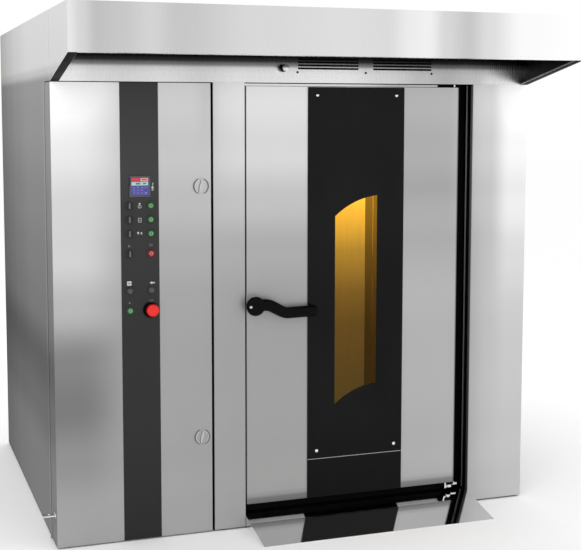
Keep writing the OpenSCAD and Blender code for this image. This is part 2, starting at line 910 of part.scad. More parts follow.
// Side plates of the chain as two loops, with pins along the runs between the teeth
module drive_chain() {
    plate_t = 3;
    plate_gap = 0.6;
    band_w = 14;
    big = pitch_r(driven_teeth);
    small = pitch_r(drive_teeth);
    lean = asin((big - small) / chain_span);
    run = chain_span * cos(lean);
    pins = floor((run - 110) / chain_pitch);
    place() color("black") translate([table_x, table_y, 0]) {
        for (z = [sprocket_z0 - plate_gap - plate_t, sprocket_z1 + plate_gap])
            translate([0, 0, z]) linear_extrude(height = plate_t) chain_loop(band_w);
        for (s = [-1, 1], i = [0 : pins])
            mirror([0, s < 0 ? 1 : 0, 0])
                translate([-big * sin(lean), big * cos(lean), sprocket_z0 - plate_gap - cut])
                    rotate([0, 0, 180 + lean])
                        translate([60 + i * chain_pitch, 0, 0])
                            cylinder(r = 4, h = sprocket_t + 2 * plate_gap + 2 * cut);
    }
}

module gearmotor() {
    mid_z = deck_z1 + gearbox_h / 2;
    place() color("royalblue") difference() {
        union() {
            block(drive_x - gearbox_w / 2, drive_x + gearbox_w / 2, table_y - gearbox_w / 2,
                  table_y + gearbox_w / 2, deck_z1, deck_z1 + gearbox_h);
            rod_y(drive_x, mid_z, gear_motor_r, table_y + gearbox_w / 2,
                  table_y + gearbox_w / 2 + gear_motor_l);
            rod_z(drive_x, table_y, output_r + 15, deck_z1 + gearbox_h, sprocket_z0 - 6);
        }
        rod_z(drive_x, table_y, output_r + fit, deck_z1 + 28, sprocket_z0);
    }
}

// ---- Hot air, steam and fire ----

// Bladed wheel on a shaft that rises into its motor
module fan_impeller() {
    place() color("silver") translate([fan_x, plenum_y, 0]) {
        translate([0, 0, fan_z + fan_h]) cylinder(r = fan_r, h = fan_plate_t);
        translate([0, 0, fan_z]) cylinder(r = fan_shaft_r + fan_hub_wall, h = fan_h);
        for (i = [0 : fan_blades - 1])
            rotate([0, 0, i * 360 / fan_blades])
                translate([fan_shaft_r + fan_hub_wall - blade_lap, -blade_t / 2, fan_z])
                    cube([fan_r - blade_inset - fan_shaft_r - fan_hub_wall + blade_lap, blade_t, fan_h]);
        translate([0, 0, fan_z + fan_h + fan_plate_t])
            cylinder(r = fan_shaft_r, h = deck_z1 + fan_shaft_in - fan_z - fan_h - fan_plate_t);
    }
}

module fan_motor() {
    place() color("royalblue") difference() {
        union() {
            rod_z(fan_x, plenum_y, fan_motor_r + fan_flange_w, deck_z1, deck_z1 + fan_flange_t);
            rod_z(fan_x, plenum_y, fan_motor_r, deck_z1 + fan_flange_t, deck_z1 + fan_motor_l);
        }
        rod_z(fan_x, plenum_y, fan_shaft_r + fit, deck_z1 - cut, deck_z1 + fan_shaft_in + 2);
    }
}

// Outline of the exchanger: two headers joined by tubes, and the drum with its duct.
// With inset above nought it is the hollow inside.
module exchanger_shape(inset) {
    x0 = exchanger_x - exchanger_w / 2 + inset;
    x1 = exchanger_x + exchanger_w / 2 - inset;
    y0 = plenum_y - exchanger_d / 2 + inset;
    y1 = plenum_y + exchanger_d / 2 - inset;
    reach = inset > 0 ? exchanger_wall + cut : 0;
    for (z = [header_z, tube_top])
        block(x0, x1, y0, y1, z + inset, z + header_h - inset);
    for (i = [0 : tube_cols - 1], j = [0 : tube_rows - 1])
        rod_z(exchanger_x + (i - (tube_cols - 1) / 2) * tube_pitch,
              plenum_y + (j - (tube_rows - 1) / 2) * tube_pitch,
              tube_r - inset, header_z + header_h - reach, tube_top + reach);
    block(drum_x, x0 + cut, plenum_y - duct_d / 2 + inset, plenum_y + duct_d / 2 - inset,
          header_z + duct_rise + inset, header_z + duct_rise + duct_h - inset);
    rod_y(drum_x, drum_z, drum_r - inset, drum_y0 + inset, drum_y1 - inset);
}

module heat_exchanger() {
    place() color("peru") {
        difference() {
            exchanger_shape(0);
            exchanger_shape(exchanger_wall);
            rod_y(drum_x, drum_z, burner_tube_r + clear, drum_y0 - cut, drum_y0 + exchanger_wall + cut);
            rod_z(exchanger_x, plenum_y, flue_r - 2 * pipe_t, tube_top + header_h / 2,
                  tube_top + header_h + cut);
        }
        for (s = [-1, 1])
            block(exchanger_x + s * (exchanger_w / 2 - header_foot_inset) - header_foot_w / 2,
                  exchanger_x + s * (exchanger_w / 2 - header_foot_inset) + header_foot_w / 2,
                  plenum_y - exchanger_d / 2, plenum_y + exchanger_d / 2, floor_z, header_z);
        for (y = [drum_y0 + saddle_inset, drum_y1 - saddle_inset - saddle_t])
            difference() {
                block(drum_x - saddle_w / 2, drum_x + saddle_w / 2, y, y + saddle_t, base_h, drum_z);
                rod_y(drum_x, drum_z, drum_r - exchanger_wall / 2, y - cut, y + saddle_t + cut);
            }
    }
}

module burner() {
    y1 = drum_y0 - burner_tube_l;
    place() color("firebrick") {
        rod_y(drum_x, drum_z, burner_tube_r, y1, drum_y0 + burner_tube_in);
        rod_y(drum_x, drum_z, burner_tube_r + burner_flange_w, drum_y0 - burner_flange_t, drum_y0);
        block(drum_x - burner_w / 2, drum_x + burner_w / 2, y1 - burner_d, y1,
              drum_z - burner_low, drum_z + burner_high);
        rod_x(y1 - burner_d / 2, drum_z, burner_fan_r, drum_x + burner_w / 2,
              drum_x + burner_w / 2 + burner_fan_l);
    }
}

// Pipe with a flange on the roof and a collar over it
module collar(x, y, r, z0, rise) {
    difference() {
        union() {
            rod_z(x, y, r - pipe_t, z0, body_h + flange_t);
            rod_z(x, y, r + collar_flange, body_h, body_h + flange_t);
            rod_z(x, y, r, body_h + flange_t, body_h + rise);
        }
        rod_z(x, y, r - 2 * pipe_t, z0 - cut, body_h + rise + cut);
    }
}

module roof_collars() {
    place() color("silver") {
        collar(exchanger_x, plenum_y, flue_r, tube_top + header_h, flue_rise);
        difference() {
            collar(damper_x, steam_y, steam_r, ceiling_z, steam_rise);
            rod_y(damper_x, damper_z, rod_r + fit, steam_y - steam_r - cut,
                  steam_y + steam_r + cut);
        }
    }
}

// Knob and rod with a butterfly flap in the steam pipe
module damper() {
    place() color("silver") {
        rod_y(damper_x, damper_z, knob_r, -knob_out, -knob_out + 28);
        rod_y(damper_x, damper_z, rod_r, -knob_out + 28, steam_y + steam_r + 10);
        rod_z(damper_x, steam_y, steam_r - 2 * pipe_t - loose, damper_z - 1.5, damper_z + 1.5);
    }
}

// Stack of bars that the water runs down, in a frame
module steam_generator() {
    bars = 12;
    step = (generator_z1 - generator_z0) / bars;
    place() color("darkslategray") {
        for (s = [-1, 1])
            block(generator_x + s * generator_w / 2 - 3, generator_x + s * generator_w / 2 + 3,
                  plenum_y - generator_d / 2, plenum_y + generator_d / 2, floor_z, generator_z1);
        for (i = [0 : bars - 1])
            block(generator_x - generator_w / 2, generator_x + generator_w / 2,
                  plenum_y - generator_d / 2, plenum_y + generator_d / 2,
                  generator_z0 + i * step, generator_z0 + i * step + step / 2);
    }
}

// Water pipe with its spout over the steam generator, and the supply cable's gland
module rear_inlets() {
    place() color("goldenrod") {
        rod_y(generator_x, water_h, water_r, plenum_y, body_d + water_out);
        rod_y(generator_x, water_h, water_r + 14, body_d, body_d + flange_t);
        rod_z(generator_x, plenum_y, water_r, generator_z1 + clear, water_h);
        rod_y(generator_x, gland_h, gland_r, body_d - sheet - 20, body_d + 25);
        rod_y(generator_x, gland_h, gland_r + 8, body_d, body_d + 12);
    }
}

// Mounting plate across the machine bay with its switchgear
module electrical_board() {
    place() color("whitesmoke") {
        block(x_left + sheet, post_x0, board_y, board_y + board_t, board_z0, board_z0 + board_h);
        for (row = [0 : 2], i = [0 : 6])
            translate([x_left + board_margin + i * switch_pitch, board_y - switch_w,
                       board_z0 + switch_margin + row * switch_row])
                cube([switch_w, switch_w, switch_h]);
    }
}

// ---- Pivots and hinges ----

// Fixed halves of the baking door's two pivots, bolted to the jamb
module door_pivots() {
    top_z = door_z1 + arm_t + 1;
    foot_z = door_foot - foot_drop;
    place() color("silver") {
        difference() {
            block(hinge_x - top_bracket_reach, hinge_x + top_bracket_edge, bracket_y0, jamb_y0,
                  top_z, top_z + bracket_t);
            rod_z(hinge_x, hinge_y, hinge_pin_r + fit, top_z - cut, top_z + bracket_t + cut);
        }
        block(hinge_x - foot_bracket_reach, hinge_x + foot_bracket_edge, bracket_y0, jamb_y0,
              foot_z, foot_z + bracket_t);
        rod_z(hinge_x, hinge_y, hinge_pin_r, foot_z + bracket_t, foot_z + bracket_t + pin_l);
    }
}

module door_hinge_arms() {
    foot_z = door_foot - foot_drop + bracket_t + clear;
    place() color("dimgray") {
        block(hinge_x - arm_reach, door_x1 - arm_inset, bracket_y0, arm_y1, door_z1, door_z1 + arm_t);
        rod_z(hinge_x, hinge_y, hinge_pin_r, door_z1 + arm_t, door_z1 + arm_t + pin_l);
        difference() {
            block(hinge_x - foot_arm_reach, door_x1 - arm_inset, bracket_y0, arm_y1, foot_z, door_foot);
            rod_z(hinge_x, hinge_y, hinge_pin_r + fit, foot_z - cut, foot_z + pin_l + 1);
        }
    }
}

// Knuckles share the length; every other one belongs to the same leaf
module knuckle_row(first) {
    length = service_z1 - panel_foot;
    step = length / knuckles;
    for (i = [first : 2 : knuckles - 1])
        translate([0, 0, panel_foot + i * step + clear])
            children();
}

knuckle_l = (service_z1 - panel_foot) / knuckles - 2 * clear;

module knuckle(leaf_y0, leaf_y1) {
    difference() {
        union() {
            rod_z(long_hinge_x, long_hinge_y, knuckle_r, 0, knuckle_l);
            block(x_left - leaf_t, x_left, leaf_y0, leaf_y1, 0, knuckle_l);
        }
        rod_z(long_hinge_x, long_hinge_y, long_pin_r + fit, -cut, knuckle_l + cut);
    }
}

// Fixed leaf of the long hinge with its pin
module service_hinge() {
    place() color("silver") {
        block(x_left - leaf_t, x_left, long_hinge_y + 3, long_hinge_y + leaf_w,
              panel_foot, service_z1);
        knuckle_row(0) knuckle(long_hinge_y, long_hinge_y + 4);
        rod_z(long_hinge_x, long_hinge_y, long_pin_r, panel_foot, service_z1);
    }
}

// ---- Service door ----

module control_holes(r, w) {
    for (c = control_spots) translate(c) circle(r = r);
    translate([strip_x, display_h]) square(w, center = true);
}

// Folded sheet with a deep return on the left, and the hinge's moving leaf
module service_door_panel() {
    x1 = service_x1;
    place() color("silver") {
        difference() {
            union() {
                block(x_left, x1, 0, sheet, panel_foot, service_z1);
                block(x_left, x_left + sheet, sheet, service_return, panel_foot, service_z1);
                block(x1 - sheet, x1, sheet, service_lip, panel_foot, service_z1);
                for (z = [panel_foot, service_z1 - sheet])
                    block(x_left + sheet, x1 - sheet, sheet, service_lip, z, z + sheet);
            }
            front_extrude(-cut, sheet + cut) control_holes(barrel_r + clear, housing_w + 1);
            for (h = latch_hs) rod_y(latch_x, h, latch_r - 4 + clear, -cut, sheet + cut);
            latch_slots(x1 - sheet);
        }
        block(x_left - leaf_t, x_left, long_hinge_y - leaf_w - 4, long_hinge_y - 3,
              panel_foot, service_z1);
        knuckle_row(1) knuckle(long_hinge_y - 4, long_hinge_y);
    }
}

module control_strip() {
    place() color([0.2, 0.2, 0.21]) difference() {
        block(strip_x0, strip_x1, -strip_t, 0, panel_foot, service_z1);
        front_extrude(-strip_t - cut, cut) control_holes(barrel_r + clear, housing_w + 1);
    }
}

module display_unit() {
    face = -strip_t - display_out;
    place() color([0.25, 0.3, 0.45]) difference() {
        union() {
            front_extrude(face, -strip_t) translate([strip_x, display_h])
                square(display_w, center = true);
            front_extrude(-strip_t, housing_l) translate([strip_x, display_h])
                square(housing_w, center = true);
        }
        front_extrude(face - cut, face + 1) translate([strip_x, display_h])
            square(display_w - 12, center = true);
    }
}

// Bezel, threaded barrel and contact block of each control, with the blind bore of its cap
module control_bodies() {
    place() color([0.12, 0.12, 0.12]) for (c = control_spots) difference() {
        union() {
            rod_y(c[0], c[1], bezel_r, -strip_t - bezel_t, -strip_t);
            rod_y(c[0], c[1], barrel_r, -strip_t, barrel_l);
            block(c[0] - block_w / 2, c[0] + block_w / 2, barrel_l, barrel_l + block_l,
                  c[1] - block_w / 2, c[1] + block_w / 2);
        }
        rod_y(c[0], c[1], cap_r + fit, -strip_t - bezel_t - cut, cap_in + stop_travel + 1);
    }
}

cap_face = -strip_t - bezel_t - cap_out;

module button_cap(spot, tint) {
    place() color(tint) rod_y(spot[0], spot[1], cap_r, cap_face, cap_in);
}

// Round knob with a lever across it
module selector(row) {
    spot = [left_col, selector_hs[row]];
    place() color([0.15, 0.15, 0.15]) {
        rod_y(spot[0], spot[1], cap_r, cap_face + 2, cap_in);
        block(spot[0] - 4, spot[0] + 4, cap_face - 8, cap_face + 2,
              spot[1] - cap_r + 1, spot[1] + cap_r + 3);
    }
}

// Mushroom head on its plunger
module stop_button() {
    neck = -strip_t - bezel_t - stop_travel - 3;
    head_t = 26;
    place() color("red") translate([stop_spot[0], 0, stop_spot[1]]) rotate([90, 0, 0])
        rotate_extrude() polygon([[0, -cap_in], [cap_r, -cap_in], [cap_r, -neck],
            [stop_r - 3, -neck], [stop_r, -neck + 4], [stop_r, -neck + head_t - 12],
            [stop_r - 4, -neck + head_t - 5], [stop_r - 14, -neck + head_t], [0, -neck + head_t]]);
}

// Round dish let into the sheet for each latch
module latch_cups() {
    place() color("silver") for (h = latch_hs) difference() {
        union() {
            rod_y(latch_x, h, latch_r, -latch_flange, 0);
            rod_y(latch_x, h, latch_r - 4, 0, latch_depth);
        }
        rod_y(latch_x, h, latch_r - 7, -latch_flange - cut, latch_bowl);
        rod_y(latch_x, h, 6 + fit, latch_bowl - cut, latch_depth + cut);
    }
}

// Wing in the dish with its spindle and, behind, the cam that turns behind the post
module latch_wing(h) {
    place() color("gray") {
        block(latch_x - 4, latch_x + 4, -latch_flange + 1, latch_bowl - 1,
              h - latch_r + 9, h + latch_r - 9);
        rod_y(latch_x, h, 6, latch_bowl - 1, cam_y + cam_t);
        block(latch_x - cam_w / 2, latch_x + cam_w / 2, cam_y, cam_y + cam_t,
              h - cam_w / 2, h + cam_l);
    }
}

// Small bright lug at the foot of the return
module service_door_lug() {
    place() color("whitesmoke") difference() {
        union() {
            block(x_left - 3, x_left, lug_y - 20, lug_y + 20, lug_z - 8, lug_z + 8);
            block(x_left - 62, x_left - 3, lug_y - 20, lug_y + 20, lug_z, lug_z + 6);
        }
        block(x_left - 34, x_left - 26, lug_y - 12, lug_y + 12, lug_z - cut, lug_z + 6 + cut);
    }
}

// ---- Baking door ----

// Window with two parallel curved ends
module window_outline() {
    low_z = window_z0 - arc_rise;
    difference() {
        intersection() {
            translate([window_x0, low_z]) square([window_w, window_h + window_r]);
            union() {
                translate([arc_x, low_z + window_h]) circle(r = window_r, $fn = 180);
                translate([window_x0, low_z]) square([window_w, window_h]);
            }
        }
        translate([arc_x, low_z]) circle(r = window_r, $fn = 180);
    }
}

module hollow(y0, y1) {
    block(hollow_x0, hollow_x1, y0, y1, hollow_z0, hollow_z1);
}

// Front sheet with returns, and the rosette and bush of the handle
module door_outer_skin() {
    skin_y1 = door_t - sheet;
    place() color("silver") difference() {
        union() {
            difference() {
                block(door_x0, door_x1, 0, skin_y1, door_foot, door_z1);
                block(door_x0 + sheet, door_x1 - sheet, sheet, door_t,
                      door_foot + sheet, door_z1 - sheet);
            }
            front_extrude(-rosette_t, 0) {
                translate([handle_x, handle_h])
                    square([rosette_w, rosette_h - rosette_w], center = true);
                for (s = [-1, 1])
                    translate([handle_x, handle_h + s * (rosette_h - rosette_w) / 2])
                        circle(r = rosette_w / 2);
            }
            rod_y(handle_x, handle_h, boss_r, 0, boss_l);
        }
        hollow(-cut, sheet + cut);
        rod_y(handle_x, handle_h, spindle_r + fit, -rosette_t - cut, boss_l + cut);
    }
}

module door_inner_skin() {
    place() color("gainsboro") difference() {
        block(door_x0, door_x1, door_t - sheet, door_t, door_foot, door_z1);
        hollow(door_t - sheet - cut, door_t + cut);
    }
}

module door_core() {
    place() color("khaki") difference() {
        block(door_x0 + sheet, door_x1 - sheet, sheet, door_t - sheet,
              door_foot + sheet, door_z1 - sheet);
        hollow(0, door_t);
        block(hollow_x0 - pane_lap, hollow_x1 + pane_lap, door_t - sheet - pane_t, door_t,
              hollow_z0 - pane_lap, hollow_z1 + pane_lap);
        rod_y(handle_x, handle_h, boss_r, 0, boss_l + 20);
    }
}

// Seal that lies against the jamb on three sides, and the sweep under the door
module door_seal() {
    seal_w = 20;
    place() color([0.1, 0.1, 0.1]) {
        difference() {
            block(mouth_x0 - seal_w - 5, mouth_x1 + seal_w + 5, door_t, jamb_y0 - clear,
                  door_foot, mouth_z1 + seal_w + 5);
            block(mouth_x0 - 5, mouth_x1 + 5, door_t - cut, jamb_y0,
                  door_foot - cut, mouth_z1 + 5);
        }
        block(door_x0 + 5, hinge_x - 60, 30, door_t, door_foot - sweep_h, door_foot);
    }
}

// Dark glass with the window's outline cut out of it, and the plate under it
module door_glass() {
    place() color([0.1, 0.1, 0.1]) {
        front_extrude(-glass_t, 0) difference() {
            translate([glass_x0, glass_joint_h + 1])
                square([glass_w, glass_z1 - glass_joint_h - 1]);
            window_outline();
        }
        block(glass_x0, glass_x1, -glass_t, 0, door_foot, glass_joint_h - 1);
    }
}

// Clear pane that fills the window, and the inner pane behind the hollow
module viewing_glass() {
    place() color([1, 0.8, 0.3, 0.5]) {
        front_extrude(-glass_t, 0) window_outline();
        block(hollow_x0 - pane_lap, hollow_x1 + pane_lap, door_t - sheet - pane_t,
              door_t - sheet, hollow_z0 - pane_lap, hollow_z1 + pane_lap);
    }
}

// Hub on its spindle, a neck that drops, and a level grip
module door_handle() {
    mid_y = -handle_out + grip_r;
    elbow_x = handle_x + handle_reach * 0.46;
    place() color([0.06, 0.06, 0.06]) {
        rod_y(handle_x, handle_h, handle_hub_r, -handle_out + 4, -rosette_t - clear);
        rod_y(handle_x, handle_h, spindle_r, -rosette_t - clear, boss_l + 10);
        hull() {
            translate([handle_x + 14, mid_y, handle_h + 4]) sphere(r = grip_r, $fn = 24);
            translate([elbow_x, mid_y, handle_h - handle_drop]) sphere(r = grip_r, $fn = 24);
        }
        hull() {
            translate([elbow_x, mid_y, handle_h - handle_drop]) sphere(r = grip_r, $fn = 24);
            translate([handle_x + handle_reach - grip_r, mid_y, handle_h - handle_drop])
                sphere(r = grip_r, $fn = 24);
        }
    }
}

base_frame();
side_panels();
rear_panel();
roof_panel();
front_pillars();
top_fascia();
hood_canopy();
chamber_liner();
air_walls();
insulation();
drive_deck();
door_jamb();
heat_exchanger();
burner();
roof_collars();
steam_generator();
rear_inlets();
fan_motor();
gearmotor();
rotation_bearings();
drive_chain();
electrical_board();
chamber_lamp();
ramp();
door_pivots();
service_hinge();
service_door_panel();
control_strip();
display_unit();
control_bodies();
latch_cups();
service_door_lug();
selector(0);  // selector_1
selector(1);  // selector_2
selector(2);  // selector_3
selector(3);  // selector_4
button_cap(button_spots[0], "green");  // button_1
button_cap(button_spots[1], "green");  // button_2
button_cap(button_spots[2], "green");  // button_3
button_cap(button_spots[3], "firebrick");  // button_4
button_cap(button_spots[4], "gray");  // button_5
button_cap(button_spots[5], "gray");  // button_6
button_cap(button_spots[6], "green");  // button_7
stop_button();
latch_wing(latch_high);  // latch_wing_1
latch_wing(latch_low);  // latch_wing_2
door_outer_skin();
door_inner_skin();
door_core();
door_seal();
door_glass();
viewing_glass();
door_hinge_arms();
door_handle();
turntable();
hanger();
driven_sprocket();
drive_sprocket();
fan_impeller();
damper();
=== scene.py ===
import math

import bmesh
import bpy
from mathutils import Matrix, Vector


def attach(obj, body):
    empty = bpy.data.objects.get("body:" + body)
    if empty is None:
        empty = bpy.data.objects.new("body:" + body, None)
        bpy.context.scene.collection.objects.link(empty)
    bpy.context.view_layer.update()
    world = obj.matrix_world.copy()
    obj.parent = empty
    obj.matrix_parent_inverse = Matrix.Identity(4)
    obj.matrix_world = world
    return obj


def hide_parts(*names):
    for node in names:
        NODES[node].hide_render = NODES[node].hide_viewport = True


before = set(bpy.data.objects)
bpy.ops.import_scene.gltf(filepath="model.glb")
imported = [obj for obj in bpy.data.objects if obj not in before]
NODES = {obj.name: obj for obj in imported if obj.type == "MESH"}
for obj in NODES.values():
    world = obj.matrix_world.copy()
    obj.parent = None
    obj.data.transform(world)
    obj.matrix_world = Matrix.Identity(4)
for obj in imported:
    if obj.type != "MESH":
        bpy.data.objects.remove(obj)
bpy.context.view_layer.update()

# Sizes are in mm. Y is counted from the front face of the body, as in the part's source.
BODY_D = 1900
LEFT, RIGHT = -1200, 1200
TOP, SEAM, FOOT = 2440, 2130, 8
SHEET, BEND = 2, 3
SERVICE_X1, SERVICE_Z1, RETURN_D = -462, 2126, 140
POST_X0, POST_X1 = -451, -298
DOOR_X0, DOOR_X1, DOOR_Z0, DOOR_Z1, DOOR_T = -290, 815, 116, 2113, 80
RECESS_X1, RECESS_D, SILL_Z = 895, 84, 60
HOOD_OUT, HOOD_Z0, GUTTER = 500, 2232, 40
STRIP_X, STRIP_W, STRIP_T = -800, 178, 1.5
LEFT_COL, RIGHT_COL = -850, -750
ROWS = [1568, 1504, 1440, 1348]
GREY_Z, START_Z = 1178, 1087
BUTTONS = [(RIGHT_COL, z) for z in ROWS] + [(LEFT_COL, GREY_Z), (RIGHT_COL, GREY_Z),
                                            (LEFT_COL, START_Z)]
RED_LENS, GREY_CAPS = 3, (4, 5)
DISPLAY_Z, DISPLAY_W, DISPLAY_RIM = 1656, 96, 7
BEZEL_R, BEZEL_T, CAP_R, CAP_IN = 19.5, 5, 13, 6
BEZEL_Y = -STRIP_T - BEZEL_T
CAP_Y = BEZEL_Y - 4
LATCH_X, LATCHES = -511, [1651, 467]
HANDLE_X, HANDLE_Z = -260, 1083
GLASS_X0, GLASS_X1 = 16, 517
HOLLOW = (120, 414, 533, 1730)
HINGE_X, HINGE_Y = 799, 25
DAMPER_X, DAMPER_Z, FLAP_Y = -110, 2198, 300
PIPE_X, PIPE_Y, WATER_Z, CABLE_Z = 849, 1614, 1560, 1900


def at(x, y, z):
    return Vector((x / 1000, (y - BODY_D / 2) / 1000, z / 1000))


def grey(v):
    """An 8-bit display value as a linear one."""
    v = v / 255
    return v / 12.92 if v <= 0.04045 else ((v + 0.055) / 1.055) ** 2.4


def tint(r, g, b):
    return (grey(r), grey(g), grey(b), 1)


def placed(name, data):
    """A new object, linked to the scene."""
    ob = bpy.data.objects.new(name, data)
    bpy.context.scene.collection.objects.link(ob)
    return ob


# ---- Materials ----

WHITE = (1, 1, 1, 1)


class Paint:
    """A material whose nodes are placed one by one."""

    def __init__(self, name):
        self.mat = bpy.data.materials.new(name)
        self.mat.use_nodes = True
        self.tree = self.mat.node_tree
        self.shader = self.tree.nodes["Principled BSDF"]
        self.coord = self.node("ShaderNodeTexCoord").outputs["Object"]

    def node(self, kind, **values):
        n = self.tree.nodes.new(kind)
        for k, v in values.items():
            setattr(n, k, v)
        return n

    def link(self, a, b):
        self.tree.links.new(a, b)

    def noise(self, scale, detail=4.0, rough=0.6):
        """Noise from 0 to 1, with a scale for each axis in waves per metre."""
        m = self.node("ShaderNodeMapping")
        m.inputs["Scale"].default_value = scale
        n = self.node("ShaderNodeTexNoise")
        n.inputs["Scale"].default_value = 1.0
        n.inputs["Detail"].default_value = detail
        n.inputs["Roughness"].default_value = rough
        self.link(self.coord, m.inputs["Vector"])
        self.link(m.outputs["Vector"], n.inputs["Vector"])
        return n.outputs["Fac"]

    def spread(self, value, low, high, out_low, out_high, smooth=False):
        r = self.node("ShaderNodeMapRange")
        if smooth:
            r.interpolation_type = "SMOOTHSTEP"
        for name, v in (("From Min", low), ("From Max", high),
                        ("To Min", out_low), ("To Max", out_high)):
            r.inputs[name].default_value = v
        self.link(value, r.inputs["Value"])
        return r.outputs["Result"]

    def vary(self, noise, share, middle=1.0, edge=0.3):
        """Noise turned into a value that swings by a share to both sides of its middle."""
        return self.spread(noise, edge, 1 - edge, middle - share, middle + share)

    def along(self, axis):
        """Place along an axis of the object, in metres."""
        s = self.node("ShaderNodeSeparateXYZ")
        self.link(self.coord, s.inputs["Vector"])
        return s.outputs[axis]

    def ramp(self, axis, stops, kind="EASE"):
        """Colours at places along an axis, given in mm, with Y from the front face."""
        shift = BODY_D / 2 if axis == "Y" else 0
        places = [(p - shift) / 1000 for p, _ in stops]
        fac = self.spread(self.along(axis), places[0], places[-1], 0, 1)
        r = self.node("ShaderNodeValToRGB")
        r.color_ramp.interpolation = kind
        while len(r.color_ramp.elements) < len(stops):
            r.color_ramp.elements.new(0.5)
        for e, p, (_, c) in zip(r.color_ramp.elements, places, stops):
            e.position = (p - places[0]) / (places[-1] - places[0])
            e.color = c if isinstance(c, tuple) else (c, c, c, 1)
        self.link(fac, r.inputs["Fac"])
        return r.outputs["Color"]

    def blend(self, a, b, kind="MULTIPLY", factor=1.0):
        m = self.node("ShaderNodeMix", data_type="RGBA", blend_type=kind)
        if isinstance(factor, float):
            m.inputs[0].default_value = factor
        else:
            self.link(factor, m.inputs[0])
        for value, socket in ((a, m.inputs[6]), (b, m.inputs[7])):
            if isinstance(value, tuple):
                socket.default_value = value
            else:
                self.link(value, socket)
        return m.outputs[2]

    def bump(self, height, strength, distance=0.001):
        b = self.node("ShaderNodeBump")
        b.inputs["Strength"].default_value = strength
        b.inputs["Distance"].default_value = distance
        self.link(height, b.inputs["Height"])
        self.link(b.outputs["Normal"], self.shader.inputs["Normal"])

    def set(self, **values):
        """Sets or links the shader's sockets, named in lower case with underscores."""
        for k, v in values.items():
            socket = self.shader.inputs[k.replace("_", " ").title().replace("Ior", "IOR")]
            if isinstance(v, bpy.types.NodeSocket):
                self.link(v, socket)
            else:
                socket.default_value = v


def surface(name, colour, rough, grain=60, spread=0.08, bump=0.1, metal=0.0, spec=0.5,
            ramp=None, rough_spread=0.05, **more):
    """A plain material with fine variation of colour, gloss and height.

    grain is the scale of the noise in waves per metre, alone or one for each axis.
    """
    p = Paint(name)
    n = p.noise(grain if isinstance(grain, tuple) else (grain,) * 3)
    base = p.blend(colour, p.vary(n, spread))
    if ramp:
        base = p.blend(base, p.ramp(*ramp))
    p.set(base_color=base, metallic=metal, roughness=p.vary(n, rough_spread, rough),
          specular_ior_level=spec, **more)
    if bump:
        p.bump(n, bump)
    return p.mat


def steel(name, tall, wide=None, deep=None, bands=(), metal=1.0, rough=0.28, streak=0.013,
          spec=0.5):
    """Stainless sheet with vertical grain and the broad soft bands of a rolled finish.

    tall gives 8-bit greys at heights in mm, wide and deep shares of them along X and Y; all three
    paint reflection and shade. A band is (from x, to x, softness, gains at heights) and
    multiplies what lies between its edges, as a painted highlight where it gains and painted
    shade where it loses.
    """
    p = Paint(name)
    base = p.ramp("Z", [(z, grey(v)) for z, v in tall])
    for axis, stops in (("X", wide), ("Y", deep)):
        if stops:
            base = p.blend(base, p.ramp(axis, stops))
    for x0, x1, soft, gains in bands:
        begun, ended = [p.spread(p.along("X"), (x - soft) / 1000, (x + soft) / 1000, 0, 1, True)
                        for x in (x0, x1)]
        gain = p.spread(p.ramp("Z", [(z, g / 2) for z, g in gains]), 0, 1, 0, 2)
        inside = p.blend(WHITE, gain, "MIX", begun)
        base = p.blend(base, p.blend(inside, WHITE, "MIX", ended))
    grain = p.noise((420, 420, 1.5), 3.0)
    cloud = p.noise((1.3, 1.3, 0.7), 2.0)
    base = p.blend(base, p.vary(grain, streak, edge=0.25))
    base = p.blend(base, p.vary(cloud, 0.015))
    p.set(base_color=base, metallic=metal, roughness=p.vary(grain, 0.03, rough, 0.25),
          specular_ior_level=spec)
    p.bump(grain, 0.02, 0.0002)
    return p.mat


# Painted reflections: the fronts darken downwards. Bands of painted highlight make them brightest
# at the left corner and the right end, further bands paint light and shade across the post and
# the door, painted shade lies at the service door's right edge and the door's foot, and a painted
# reflection of the dark recess lies on the door's right edge.
FRONT_SHADE_Z = [(0, 171), (200, 167), (420, 161), (890, 158), (1120, 161), (1350, 170), (1580, 186),
           (1820, 201), (2130, 228)]
FRONT_LIGHT_BANDS = [
    (-1400, -945, 140, [(150, 0.95), (400, 0.78), (650, 0.53), (870, 0.63), (1110, 1.25),
                        (1330, 1.5), (1565, 1.27), (2060, 1.48)]),
    (-520, -440, 40, [(1500, 1.0), (1800, 0.96), (2060, 0.87)]),
    (-430, 330, 130, [(1350, 0.98), (1560, 1.07), (1800, 1.22), (2060, 1.22)]),
    (430, 860, 120, [(100, 1.14), (400, 1.17), (700, 1.2), (1100, 1.22), (1380, 0.96),
                     (1650, 0.74), (2060, 0.75)]),
    (930, 1300, 70, [(100, 1.25), (350, 1.34), (700, 1.4), (1100, 1.42), (1380, 1.22),
                     (1650, 1.06), (2060, 1.05)]),
    (1050, 1300, 60, [(150, 1.06), (600, 1.1), (1000, 1.16), (1250, 1.32), (1450, 1.5),
                      (2060, 1.5)]),
    (-290, 815, 3, [(116, 0.42), (136, 0.5), (156, 0.88), (176, 1.0)]),
    (809, 840, 4, [(100, 0.3), (2100, 0.3)]),
]
# Painted reflections across the hood's front: lighter and darker bands, white at its right end.
HOOD_REFLECTIONS_X = [(-1200, 0.81), (-1140, 0.66), (-1080, 0.53), (-980, 0.57), (-860, 0.65), (-740, 0.57),
          (-390, 0.69), (0, 0.72), (200, 0.7), (320, 0.84), (400, 0.87), (490, 0.68), (600, 0.58),
          (700, 0.73), (880, 0.96), (1200, 1.0)]
